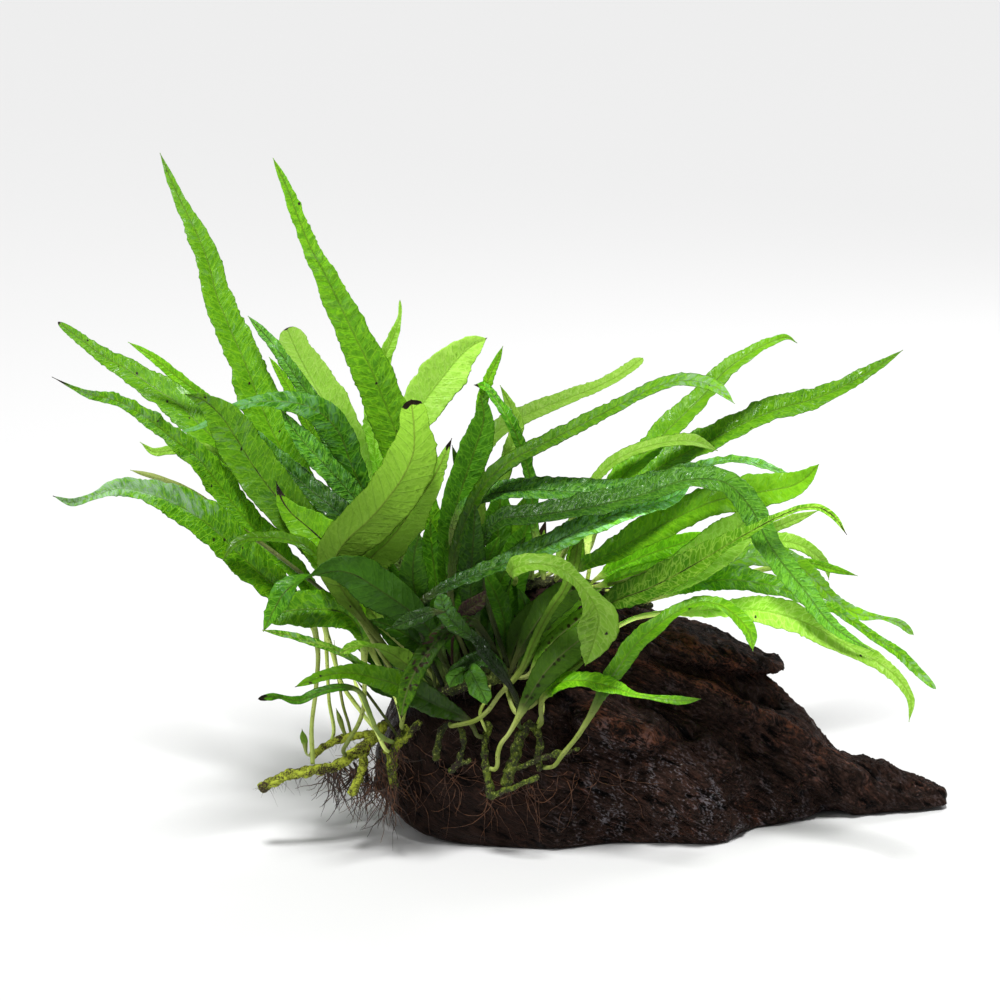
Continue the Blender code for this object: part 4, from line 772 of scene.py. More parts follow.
# These looks' tones are painted light and shade too: SHADE and HALF_SHADE draw leaves in the plant's shade
# darker, SUNLIT draws lit ones lighter.
SHADE = Look(DARK, (0.15, 0.45), quilt=0.2, tone=(0.4, 0.55))
HALF_SHADE = Look(DARK, (0.25, 0.55), quilt=0.25, tone=(0.75, 1.15))
GREEN_BEHIND = Look(FRESH, (0.3, 0.7), quilt=0.25, tone=(0.7, 0.9))
FANNED = Look(DOTTED, (0.1, 0.3), wave=0.4, quilt=0.15, tone=(0.9, 3.0))
DARK_TIP = Look(FRESH, (0.2, 0.4), quilt=0.25, tone=(1.8, 1.55))
FAINT = Look(FRESH, (0.1, 0.3), wave=0.4, quilt=0.05, ragged=0.1, tone=(0.1, 0.8))
SHADE_LIGHT = Look(DARK, (0.1, 0.4), quilt=0.2, tone=(0.45, 1.0))
UNDER_DARK = Look(DOTTED, (0.0, 0.1), wave=0.4, quilt=0.15, tone=(0.2, 0.75))
LIGHT = Look(YOUNG, (0.1, 0.6), wave=0.4, quilt=0.15, ragged=0.1, tone=(0.5, 1.1))
THIN = Look(FRESH, (0.1, 0.5), wave=0.4, quilt=0.05, ragged=0.1, tone=(0.6, 1.7))
UNDER_PALE = Look(PALE, (0.2, 0.3), wave=0.3, quilt=0.1, tone=(0.5, 0.5))
GLOSSY = Look(SILVER, (0.5, 0.9), wave=0.9, wrinkle=0.3, tip=1.8, ragged=0.22, tone=(0.7, 1.1))
GLOSSY_DARK = Look(SILVER, (0.3, 0.5), wave=0.8, wrinkle=0.3, tone=(0.3, 0.35))
WITHERED = Look(DEAD, (0.2, 0.5), wrinkle=0.3, ragged=0.15, tone=(0.35, 0.35))
SHOOT = Look(FRESH, (0.4, 0.6), wave=0.1, quilt=0.0, tone=(0.8, 0.9))
SUNLIT = Look(FRESH, (0.2, 0.6), quilt=0.25, tone=(2.8, 2.2))
STALK = Look(PALE, (0.1, 0.2), wave=0.0, quilt=0.0, tone=(1.8, 1.6))
STALK_BROWN = Look(DOTTED, (0.1, 0.2), wave=0.0, quilt=0.0, tone=(0.8, 0.95))
STALK_DARK = Look(DOTTED, (0.1, 0.2), wave=0.0, quilt=0.0, tone=(0.12, 0.16))

FRONT = "rhizome_over_front"
TOP = "rhizome_over_top"
SPRIGS = (
    Sprig("bright_hidden", TOP, SUNLIT, (590, 590, 0), (
        (598, 578, -4, 2.4), (625, 564, -6, 8.6), (655, 552, -7, 9), (688, 541, -8, 6),
        (712, 532, -9, 0.9))),
    Sprig("dark_hidden", TOP, SUNLIT, (588, 592, 0), (
        (600, 586, -6, 2.4), (624, 576, -10, 5), (650, 569, -12, 5), (680, 560, -14, 3),
        (700, 555, -15, 0.9)), turn=10),
    Sprig("dark_crouched", FRONT, SHADE, (432, 690, -36), (
        (430, 650, -37, 2.4), (420, 612, -38, 7), (413, 578, -39, 9), (414, 556, -39, 6),
        (420, 532, -38, 0.9))),
    Sprig("under_upper", FRONT, UNDER_DARK, (508, 684, -31), (
        (518, 655, -34, 3), (532, 630, -37, 7), (550, 606, -38, 10), (572, 590, -38, 7.6),
        (592, 580, -38, 0.9)), turn=180),
    Sprig("under_broad", FRONT, UNDER_DARK, (506, 686, -31), (
        (511, 658, -30, 4), (520, 636, -31, 9), (534, 616, -31, 9.4), (546, 603, -31, 6),
        (558, 590, -31, 0.9)), turn=180),
    Sprig("under_second", FRONT, UNDER_DARK, (512, 712, -31), (
        (520, 704, -37, 2.2), (532, 688, -39, 4), (545, 675, -41, 5.4), (560, 664, -41, 5),
        (574, 655, -41, 2.6), (584, 648, -41, 0.9)), turn=180),
    Sprig("under_third", FRONT, Look(PALE, (0.2, 0.3), quilt=0.1), (510, 716, -31), (
        (519, 713, -38, 2.4), (530, 700, -39, 3.4), (543, 688, -40, 4.6), (558, 675, -40, 5),
        (572, 663, -40, 3.4), (580, 655, -40, 0.9)), turn=180),
    Sprig("cover_upright", FRONT, SHADE_LIGHT, (494, 684, -31), (
        (490, 654, -27, 3), (487, 632, -24, 5), (494, 597, -20, 6.4), (504, 574, -20, 6.4),
        (514, 556, -20, 5), (526, 536, -20, 0.9))),
    Sprig("cover_one", FRONT, SHADE, (458, 686, -31), (
        (455, 660, -28, 3), (450, 630, -26, 7), (452, 600, -24, 8.4), (460, 572, -22, 6),
        (470, 545, -20, 0.9))),
    Sprig("cover_two", FRONT, SHADE_LIGHT, (472, 684, -31), (
        (475, 655, -28, 3.4), (468, 625, -26, 7), (462, 595, -24, 8), (452, 565, -22, 5),
        (446, 540, -20, 0.9)), turn=(0, 15, 15, 15, 15)),
    Sprig("cover_three", FRONT, HALF_SHADE, (498, 682, -31), (
        (500, 655, -29, 3), (505, 628, -27, 7), (498, 600, -25, 7.6), (486, 575, -24, 5),
        (478, 555, -23, 0.9)), turn=-15),
    Sprig("cover_four", FRONT, HALF_SHADE, (514, 682, -31), (
        (520, 668, -30, 3), (530, 647, -29, 6), (530, 622, -27, 7), (524, 602, -26, 4),
        (518, 588, -26, 0.9))),
    Sprig("cover_left", FRONT, SHADE, (446, 688, -31), (
        (440, 672, -31, 3), (425, 650, -31, 6), (405, 634, -31, 7), (385, 624, -31, 4),
        (368, 620, -31, 0.9))),
    Sprig("glossy_arch", FRONT, GLOSSY_DARK, (508, 686, -31), (
        (507, 678, -38, 2.4), (500, 667, -40, 4), (487, 660, -42, 6), (470, 662, -43, 5.5),
        (456, 668, -43, 3.5), (446, 676, -42, 0.9)), turn=(0, 0, 20, 30, 30, 30)),
    Sprig("glossy_flap", FRONT, GLOSSY, (478, 686, -31), (
        (470, 676, -40, 2.6), (470, 670, -46, 5), (476, 682, -48, 7), (483, 695, -48, 5.6),
        (487, 705, -47, 1.5))),
    Sprig("glossy_side", FRONT, GLOSSY, (474, 686, -31), (
        (468, 676, -42, 2.4), (462, 672, -46, 4.4), (455, 677, -47, 5), (449, 688, -46, 0.9))),
    Sprig("dead_leaf", FRONT, WITHERED, (456, 688, -31), (
        (452, 655, -36, 1.2), (456, 626, -42, 2.0), (468, 609, -45, 5.0), (479, 601, -46, 4.6),
        (486, 590, -46, 0.9))),
    Sprig("ribbon", "frond_twisted_glossy", GLOSSY_DARK, (445, 612, -58), (
        (434, 612, -59, 2.8), (420, 616, -59, 5.0), (405, 622, -58, 4.4), (390, 628, -57, 0.8))),
    Sprig("fill_low", FRONT, SHADE, (446, 690, -31), (
        (425, 682, -22, 4), (402, 668, -19, 9), (378, 655, -18, 8), (355, 646, -18, 0.9))),
    Sprig("fill_middle", FRONT, SHADE, (440, 692, -31), (
        (420, 695, -24, 4), (400, 690, -21, 7), (380, 683, -20, 7), (358, 675, -20, 0.9))),
    Sprig("fill_upper", FRONT, SHADE_LIGHT, (452, 686, -31), (
        (436, 660, -20, 4), (418, 630, -14, 9), (398, 600, -12, 9.6), (380, 575, -12, 6),
        (366, 556, -12, 0.9))),
    Sprig("fill_centre", FRONT, HALF_SHADE, (486, 684, -31), (
        (482, 655, -20, 3), (478, 625, -16, 8), (480, 590, -14, 9), (488, 560, -13, 7),
        (500, 535, -12, 0.9))),
    Sprig("behind_one", FRONT, HALF_SHADE, (456, 686, -31), (
        (440, 650, -16, 4), (424, 610, -8, 11), (410, 575, -4, 13), (398, 545, -2, 9),
        (388, 522, -2, 0.9))),
    Sprig("behind_two", FRONT, HALF_SHADE, (462, 686, -31), (
        (452, 655, -14, 4), (443, 620, -6, 10), (436, 580, -2, 12), (432, 550, 0, 9), (430, 520, 0, 0.9))),
    Sprig("behind_three", FRONT, HALF_SHADE, (500, 684, -31), (
        (502, 650, -12, 3), (506, 610, -6, 9), (512, 575, -3, 11), (520, 545, -2, 9),
        (530, 520, -2, 0.9))),
    Sprig("behind_four", FRONT, HALF_SHADE, (448, 690, -31), (
        (425, 668, -16, 4), (405, 645, -10, 9), (390, 625, -8, 9), (372, 608, -8, 0.9))),
    Sprig("behind_five", TOP, HALF_SHADE, (503, 592, 2), (
        (502, 575, 4, 3), (499, 552, 6, 8), (498, 528, 8, 9.4), (500, 505, 9, 7), (503, 484, 9, 0.9))),
    Sprig("behind_six", TOP, GREEN_BEHIND, (528, 592, 2), (
        (527, 575, 5, 3), (522, 555, 8, 7.6), (520, 532, 10, 8.6), (524, 510, 11, 6),
        (530, 492, 11, 0.9))),
    Sprig("behind_seven", TOP, GREEN_BEHIND, (568, 592, 2), (
        (570, 578, 5, 2.4), (573, 562, 7, 5.6), (580, 545, 8, 6.4), (588, 530, 9, 4), (596, 514, 9, 0.9))),
    Sprig("fan_one", FRONT, FANNED, (516, 700, -31), (
        (528, 676, -33, 2.4), (546, 650, -34, 5.4), (568, 628, -34, 6.4), (590, 612, -34, 4.6),
        (612, 602, -34, 0.9)), turn=180),
    Sprig("fan_two", FRONT, FANNED, (512, 694, -31), (
        (524, 664, -32, 2.4), (540, 636, -33, 5), (560, 612, -33, 6), (582, 596, -33, 4.4),
        (604, 588, -33, 0.9)), turn=180),
    Sprig("fan_three", FRONT, UNDER_PALE, (516, 720, -31), (
        (528, 708, -42, 1.8), (545, 692, -43, 3), (562, 676, -43, 3.4), (578, 664, -42, 2.4),
        (592, 654, -42, 0.9)), turn=180),
    Sprig("stalk_left", "rhizome_left", STALK, (334, 752, -12), (
        (333, 736, -16, 1.6), (329, 700, -16, 1.6), (327, 660, -15, 1.7), (325, 625, -14, 1.7),
        (323, 600, -13, 0.9))),
    Sprig("stalk_brown", "rhizome_left", STALK_BROWN, (352, 744, -16), (
        (350, 730, -18, 1.3), (343, 705, -18, 1.4), (338, 675, -17, 1.4), (334, 640, -16, 0.9))),
    Sprig("stalk_slanting", "rhizome_forked", STALK, (388, 752, -34), (
        (386, 750, -37, 1.7), (377, 732, -38, 1.8), (368, 712, -37, 1.8), (358, 690, -35, 1.8),
        (350, 668, -32, 0.9))),
    Sprig("stalk_leaning", "rhizome_forked", STALK_DARK, (392, 735, -30), (
        (388, 722, -32, 1.2), (378, 708, -31, 1.3), (366, 692, -30, 1.3), (356, 680, -29, 0.9))),
    Sprig("stalk_short", "rhizome_forked", STALK, (402, 728, -32), (
        (401, 718, -36, 1.4), (398, 706, -36, 1.4), (393, 692, -35, 1.4), (388, 676, -34, 0.9))),
    Sprig("shoot_left", "rhizome_left", SHOOT, (308, 762, -12), (
        (306, 752, -15, 1.3), (305, 744, -15, 2.4), (303, 736, -15, 2.6), (302, 729, -15, 0.9))),
    Sprig("shoot_middle", "rhizome_left", SHOOT, (348, 744, -16), (
        (344, 732, -20, 1.6), (340, 720, -20, 2.4), (336, 708, -20, 0.9))),
    Sprig("stalk_crown_one", FRONT, STALK, (492, 690, -31), (
        (486, 700, -40, 1.4), (480, 712, -41, 1.4), (484, 726, -40, 1.3), (488, 736, -38, 0.9))),
    Sprig("stalk_crown_two", "rhizome_front_right", STALK, (545, 716, -34), (
        (543, 708, -40, 1.5), (541, 694, -41, 1.5), (543, 678, -41, 1.5), (550, 662, -41, 0.9))),
    Sprig("left_curled", TOP, THIN, (425, 600, 0), (
        (385, 575, 5, 1.8), (330, 520, 7, 1.8), (270, 455, 5, 2.4), (225, 415, 4, 3), (195, 390, 3, 3.6),
        (175, 375, 3, 3.6), (150, 355, 3, 2.8), (128, 342, 4, 0.8))),
    Sprig("left_thin", FRONT, FAINT, (430, 690, -31), (
        (380, 640, -30, 1.6), (310, 580, -29, 1.6), (250, 535, -28, 2), (225, 517, -29, 2.4),
        (200, 497, -31, 2.4), (165, 480, -33, 2.2), (145, 474, -34, 2), (130, 470, -34, 0.8))),
    Sprig("leaflet", TOP, LIGHT, (422, 604, 0), (
        (370, 575, -8, 1.6), (310, 530, -12, 1.8), (250, 480, -14, 2.4), (200, 447, -18, 3),
        (165, 451, -18, 3), (155, 452, -18, 2.6), (140, 442, -18, 0.8))),
    Sprig("left_bit", TOP, THIN, (436, 598, 0), (
        (390, 570, 2, 1.6), (345, 500, 2, 2.2), (310, 430, 1, 3.6), (290, 390, 1, 3.6), (278, 370, 1, 2.4),
        (269, 357, 1, 0.8))),
    Sprig("centre_up", TOP, THIN, (470, 598, 0), (
        (470, 560, 6, 1.6), (474, 480, 6, 2.4), (478, 430, 8, 3.2), (483, 397, 10, 3.8),
        (488, 380, 11, 3.6), (497, 360, 12, 2.4), (503, 346, 12, 0.8))),
    Sprig("centre_light", TOP, LIGHT, (492, 596, 0), (
        (492, 560, 8, 1.8), (497, 520, 9, 3), (500, 490, 10, 4.6), (510, 450, 12, 5), (517, 425, 13, 4.4),
        (510, 405, 14, 3.4), (500, 385, 14, 0.9))),
    Sprig("centre_twin", TOP, SHADE, (462, 600, 0), (
        (462, 560, -7, 1.8), (466, 490, -8, 3), (458, 465, -8, 3), (452, 445, -8, 0.8))),
    Sprig("companion", TOP, LIGHT, (600, 590, 0), (
        (640, 575, -28, 1.8), (700, 552, -34, 2.4), (745, 535, -38, 3), (770, 529, -39, 3.2),
        (795, 519, -40, 3), (820, 510, -41, 0.9))),
    Sprig("dark_tip", TOP, DARK_TIP, (610, 590, 0), (
        (700, 585, 8, 1.6), (760, 570, 8, 2.4), (803, 562, 8, 3), (833, 569, 8, 2.8), (858, 576, 8, 0.8))),
    Sprig("yellow_tip", TOP, Look(YOUNG, (0.2, 0.6), brown=6.0), (545, 590, 2), (
        (543, 575, 4, 2.4), (541, 555, 3, 3.4), (542, 535, 2, 3), (546, 520, 2, 0.8))),
)


# Sections along a leaf

FOOT_WIDTH_MM = 1.2  # how wide a small leaf is where it stands
SMALL_DEPTH = 0.5 * MM  # the most that half a small leaf's thickness is
SMALL_FOLD = 0.25  # how steeply a small leaf rises from its midrib
FOLD_LIMIT = 0.5  # the most that a leaf rises from its midrib
LEAST_HALF = 0.2 * MM  # the least that half a leaf's width is
DEPTHS = (0.1 * MM, 0.8 * MM)  # the least and the most that half its thickness is
ROW_COUNTS = (24, 210)  # the least and the most rows of points that it has before its tip
TIP_LENGTH = 2.4 * MM  # the stretch before its tip, where rows lie closer
TIP_ROWS = (0.70, 0.45, 0.25, 0.10, 0.0)  # their places, as shares of that stretch
SAME_PLACE = 0.002 * MM  # how far apart corners are that count as one


@dataclass
class Sections:
    """A leaf's sections from its foot to its tip.

    Args:
        middles: The midrib's places.
        across: The way from the left margin to the right one, of length one.
        faces: The way that the upper side faces, of length one.
        halves: Half the width.
        depths: Half the thickness at the midrib.
        fold: How steeply the blade rises from the midrib to the margins.
    """

    middles: np.ndarray
    across: np.ndarray
    faces: np.ndarray
    halves: np.ndarray
    depths: np.ndarray
    fold: float

    @classmethod
    def of_node(cls, node: bpy.types.Object) -> "Sections":
        """Read the sections of a frond's solid, which are rings of four corners that end in a point.

        Args:
            node: The solid.
        Returns:
            Its sections.
        """
        points, links = merged(node)
        rings = rings_to_tip(links)
        left, over, right, under = [], [], [], []
        for ring in rings[:-1]:
            apart = [(a, b) for a in ring for b in ring if a < b and b not in links[a]]
            one, two = apart[0]
            other = [corner for corner in ring if corner not in (one, two)]
            spans = [np.linalg.norm(points[pair[0]] - points[pair[1]]) for pair in ((one, two), other)]
            wide, thick = ((one, two), other) if spans[0] >= spans[1] else (other, (one, two))
            for pair, first, second in ((wide, left, right), (thick, over, under)):
                a, b = pair
                if first and a not in links[first[-1]]:
                    a, b = b, a
                first.append(a)
                second.append(b)
        left, over, right, under = (points[corners] for corners in (left, over, right, under))
        middles = (over + under) / 2
        raised = np.sum(((left + right) / 2 - middles) * (over - under), axis=1)
        if raised.sum() < 0:
            over, under = under, over
        heading = np.gradient(middles, axis=0)
        if np.sum(np.cross(right - left, heading) * (over - under)) < 0:
            left, right = right, left
        halves = np.linalg.norm(right - left, axis=1) / 2
        lift = np.sum(((left + right) / 2 - middles) * unit(over - under), axis=1)
        tip = points[rings[-1][0]]
        return cls(
            np.vstack((middles, tip)),
            np.vstack((unit(right - left), unit(right[-1:] - left[-1:]))),
            np.vstack((unit(over - under), unit(over[-1:] - under[-1:]))),
            np.append(halves, 0.0),
            np.append(np.linalg.norm(over - under, axis=1) / 2, 0.0),
            float(np.clip(lift.sum() / halves.sum(), 0.0, FOLD_LIMIT)),
        )

    @classmethod
    def of_sprig(cls, eye: Eye, foot: np.ndarray, sprig: Sprig) -> "Sections":
        """Lay sections along a small leaf's route in the picture.

        Args:
            eye: The picture's eye.
            foot: Where the leaf stands.
            sprig: The leaf.
        Returns:
            The sections.
        """
        middles = np.array([foot] + [eye.point(*row[:3]) for row in sprig.route])
        turns = np.radians(np.broadcast_to(sprig.turn, len(sprig.route)))
        turns = np.concatenate((turns[:1], turns))
        halves = np.array([FOOT_WIDTH_MM] + [row[3] for row in sprig.route]) * MM / 2
        headings = unit(np.gradient(middles, axis=0))
        level = unit(np.cross(headings, unit(eye.place - middles)))
        rise = np.cross(headings, level)
        across = np.cos(turns)[:, None] * level + np.sin(turns)[:, None] * rise
        depths = np.minimum(halves, SMALL_DEPTH)
        return cls(middles, across, np.cross(across, headings), halves, depths, SMALL_FOLD)

    def finer(self, step: float) -> "Sections":
        """Read the sections closely.

        Args:
            step: The distance between two sections.
        Returns:
            The close sections, with their frames square to the midrib.
        """
        knots = lengths_along(self.middles)
        count = int(np.clip(knots[-1] / step, *ROW_COUNTS))
        wanted = np.linspace(0.0, knots[-1] - TIP_LENGTH, count)
        wanted = np.concatenate((wanted, knots[-1] - TIP_LENGTH * np.array(TIP_ROWS)))
        columns = np.column_stack((self.middles, self.across, self.faces, self.halves, self.depths))
        read = curve_rows(columns, knots, wanted)
        heading = unit(np.gradient(read[:, :3], axis=0))
        across = read[:, 3:6]
        across = unit(across - heading * np.sum(across * heading, axis=1)[:, None])
        faces = np.cross(across, heading)
        halves = np.clip(read[:, 9], LEAST_HALF, self.halves.max())
        depths = np.clip(read[:, 10], *DEPTHS)
        return Sections(read[:, :3], across, faces, halves, depths, self.fold)


def merged(node: bpy.types.Object) -> tuple[np.ndarray, list[set[int]]]:
    """Read a solid's corners, each once, and which of them an edge joins.

    Args:
        node: The solid.
    Returns:
        The corners, and for each the numbers of its neighbours.
    """
    raw = np.array([vertex.co for vertex in node.data.vertices])
    places = np.round(raw / SAME_PLACE)
    _, first, number = np.unique(places, axis=0, return_index=True, return_inverse=True)
    number = np.ravel(number)
    links: list[set[int]] = [set() for _ in first]
    for edge in node.data.edges:
        one, two = (int(number[corner]) for corner in edge.vertices)
        if one != two:
            links[one].add(two)
            links[two].add(one)
    return raw[first], links


def rings_to_tip(links: list[set[int]]) -> list[list[int]]:
    """Find the rings of four corners that lead to a frond's tip.

    Args:
        links: For each corner, its neighbours.
    Returns:
        The rings from the foot, and last the tip alone.
    """
    for tip, beside in enumerate(links):
        if len(beside) != 4:
            continue
        rings = [[tip]]
        seen = {tip}
        while True:
            ring = sorted({near for corner in rings[-1] for near in links[corner]} - seen)
            if not ring:
                break
            rings.append(ring)
            seen.update(ring)
        if all(len(ring) == 4 for ring in rings[1:]):
            return rings[::-1]
    raise ValueError("a frond's solid has no rings of four that end in a point")


# Leaves

UNDERSIDE = slice(-2, 0, -1)  # the columns of a leaf's underside, back from the last, without the margins


@dataclass
class Grid:
    """A leaf's points in rows from its foot to its tip.

    Args:
        along: How far along each row is.
        halves: Half the width of each row.
        blade: How far each row is blade, from 0 for stalk to 1.
        spread: Where the columns are, from -1 at one margin to 1 at the other.
        aside: How far from the midrib each point is.
    """

    along: np.ndarray
    halves: np.ndarray
    blade: np.ndarray
    spread: np.ndarray
    aside: np.ndarray

    @property
    def share(self) -> np.ndarray:
        """How far along each row is, from 0 to 1."""
        return self.along / self.along[-1]


@dataclass
class Blade:
    """One leaf, stalk and blade, as a closed thin shell.

    Args:
        name: The piece's name.
        sections: Its sections.
        look: How it looks.
        seed: What makes its ripples its own.
        step: The distance between its rows of points.
        columns: Places across the blade, from the midrib to the margin.
        narrow_columns: The same for a narrow leaf.
        narrow: Half the width below which a leaf is narrow.
        stalk_slim: The stalk's width as a share of its solid's.
        notch: How far apart the margin's notches are, and how deep.
        quilting: How much stronger every leaf bulges between its side veins than its look says.
        round_tip: From which shape of tip on a tip is rounded.
        vein_slant: How far a side vein runs to the tip on its way out, as a share of that way.
        sheet_mm: Half the blade's thickness.
        rib_mm: How far the midrib stands out below.
        least_tip: The least that half the tip's width is.
        least_margin: The least that half the width between notches is.
        stalk_width: Up to which width a leaf is all stalk.
        blade_width: From which width on it is all blade, at least and at most.
        margin_sizes: The length of the margin's coarse and of its fine bends.
        drift_size: The length over which side veins come closer together and part.
        ripple_sizes: The length of the margin's large and of its small ripples.
        cross_size: The distance between bulges on the way from the midrib to the margin.
        crease_size: The size of a wrinkle.
        full_half: From which half width on a blade ripples and bulges fully.
        fold_round: How softly the blade is folded at the midrib.
        full_rib: From which half width on the midrib stands out fully.
        rib_width: How far the midrib reaches to each side.
        stain_width: How far its brown reaches to each side.
        stain_size: The length of a stretch over which that brown changes.
        tone_late: How late the painted light and shade change on the way to the tip, where 1 is halfway.
        sheen_late: The same for the painted sheen.
        sheen_edge_mm: How softly that painted sheen ends at the midrib.
        sheen_whole: Between which shares of the length the painted sheen takes in the other half too.
    """

    name: str
    sections: Sections
    look: Look
    seed: float
    step: float = 0.90 * MM
    columns: tuple[float, ...] = (0.0, 0.07, 0.17, 0.32, 0.48, 0.64, 0.80, 0.93, 1.0)
    narrow_columns: tuple[float, ...] = (0.0, 0.10, 0.30, 0.55, 0.80, 1.0)
    narrow: float = 3.3 * MM
    stalk_slim: float = 0.76
    notch: tuple[float, float] = (1.45 * MM, 0.50 * MM)
    quilting: float = 1.35
    round_tip: float = 2.0
    vein_slant: float = 0.75
    sheet_mm: float = 0.13
    rib_mm: float = 0.42
    least_tip: float = 0.12 * MM
    least_margin: float = 0.1 * MM
    stalk_width: float = 2.3 * MM
    blade_width: tuple[float, float] = (2.8 * MM, 5.0 * MM)
    margin_sizes: tuple[float, float] = (6.5 * MM, 2.2 * MM)
    drift_size: float = 9.0 * MM
    ripple_sizes: tuple[float, float] = (7.5 * MM, 3.6 * MM)
    cross_size: float = 2.4 * MM
    crease_size: float = 2.1 * MM
    full_half: float = 4.0 * MM
    fold_round: float = 0.5 * MM
    full_rib: float = 2.5 * MM
    rib_width: float = 0.55 * MM
    stain_width: float = 0.30 * MM
    stain_size: float = 4.0 * MM
    tone_late: float = 1.7
    sheen_late: float = 2.0
    sheen_edge_mm: float = 1.2
    sheen_whole: tuple[float, float] = (0.70, 0.88)

    def build(self) -> bpy.types.Object:
        """Build the leaf's mesh.

        Returns:
            The leaf, with what its finish reads at each point.
        """
        rows = self.sections.finer(self.step)
        along = lengths_along(rows.middles)
        halves = self.tapered(rows.halves, along)
        blade = self.blade_share(halves)
        halves = halves * (self.stalk_slim + (self.look.slim - self.stalk_slim) * blade)
        spread = np.array(self.narrow_columns if halves.max() < self.narrow else self.columns)
        spread = np.concatenate((-spread[:0:-1], spread))
        aside = self.uneven(halves, along, spread) * spread
        grid = Grid(along, halves, blade, spread, aside)
        bend, phase = self.relief(grid)
        middle = rows.middles[:, None] + rows.across[:, None] * aside[:, :, None]
        top, bottom = (middle + rows.faces[:, None] * skin[:, :, None]
                       for skin in self.skins(grid, rows.depths, bend))
        rings = np.concatenate((top, bottom[:, UNDERSIDE]), axis=1)
        made = self.shell(rings.reshape(-1, 3), *rings.shape[:2])
        self.describe(made, grid, self.marks(grid), phase)
        return made

    def describe(self, made: bpy.types.Object, grid: Grid, brown: np.ndarray, phase: np.ndarray) -> None:
        """Write what the finish reads into the mesh.

        Args:
            made: The leaf.
            grid: Its points.
            brown: How brown each point is.
            phase: The phase of its side veins.
        """
        layers = (np.zeros_like(brown), np.ones_like(brown)), (brown,) * 2, (grid.aside,) * 2, (phase,) * 2
        below, brown, aside, phase = (
            np.concatenate((over, under[:, UNDERSIDE]), axis=1) for over, under in layers)
        tint = self.to_tip(self.look.tint, grid.share, 1.0)
        # Painted light and shade along the leaf.
        tone = self.to_tip(self.look.tone, grid.share, self.tone_late)
        # Painted sheen along the leaf, missing from one half where its look says so.
        painted_sheen = self.to_tip(self.look.painted_sheen, grid.share, self.sheen_late)
        length, stem, tint, tone, painted_sheen = (
            np.broadcast_to(row[:, None], below.shape)
            for row in (grid.along, 1.0 - grid.blade, tint, tone, painted_sheen))
        lacking = smoothstep(self.look.sheen_side * aside / MM, 0.0, self.sheen_edge_mm)
        painted_sheen = painted_sheen * (1.0 - lacking * (1.0 - smoothstep(grid.share, *self.sheen_whole))[:, None])
        write_attribute(made, "blade", painted_sheen, length, aside)
        write_attribute(made, "marks", brown, below, tint)
        write_attribute(made, "growth_and_light", stem, phase, np.maximum(tone, self.look.stalk * stem))

    def to_tip(self, values: tuple[float, ...], share: np.ndarray, late: float) -> np.ndarray:
        """Read a value that changes from the foot to the tip.

        Args:
            values: Two values, of the foot and the tip, or more at even steps.
            share: How far along each row is, from 0 to 1.
            late: How late two values change, where 1 is halfway.
        Returns:
            The value of each row.
        """
        if len(values) > 2:
            return np.interp(share, np.linspace(0.0, 1.0, len(values)), values)
        return values[0] + (values[1] - values[0]) * smoothstep(share**late)

    def tapered(self, halves: np.ndarray, along: np.ndarray) -> np.ndarray:
        """Bring the width down to nothing over the leaf's last stretch.

        Args:
            halves: Half the width of each row.
            along: How far along each row is.
        Returns:
            Half the width of each row, now round or pointed at the tip.
        """
        knots = lengths_along(self.sections.middles)
        start = knots[-2]
        width = np.interp(start, along, halves)
        way = np.clip((along - start) / (knots[-1] - start), 0.0, 1.0)
        tip = width * (1.0 - way**self.look.tip) ** (0.5 if self.look.tip >= self.round_tip else 1.0)
        return np.where(along > start, np.maximum(tip, self.least_tip), halves)

    def blade_share(self, halves: np.ndarray) -> np.ndarray:
        """Say how far each row is blade, from 0 for stalk to 1."""
        broad = float(np.clip(1.4 * halves.max(), *self.blade_width))
        return np.maximum.accumulate(smoothstep(2 * halves, self.stalk_width, broad))

    def uneven(self, halves: np.ndarray, along: np.ndarray, spread: np.ndarray) -> np.ndarray:
        """Let the two margins wander, each its own way.

        Args:
            halves: Half the width of each row.
            along: How far along each row is.
            spread: Where the columns are, from -1 at one margin to 1 at the other.
        Returns:
            Half the width of each row, for each column.
        """
        wide = np.repeat(halves[:, None], len(spread), axis=1)
        for side in (-1.0, 1.0):
            coarse = wander(along / self.margin_sizes[0], self.seed + 3.1 * side)
            fine = wander(along / self.margin_sizes[1], self.seed + 7.7 * side)
            factor = 1.0 + self.look.ragged * (coarse + 0.5 * fine)
            notches = np.abs(wander(along / self.notch[0], self.seed + 13.3 * side)) - 0.4
            cut = notches * self.notch[1] * smoothstep(halves, 0.8 * MM, 2.2 * MM)
            margin = np.maximum(halves * factor + cut, self.least_margin)
            wide[:, spread * side > 0] = margin[:, None]
        return wide

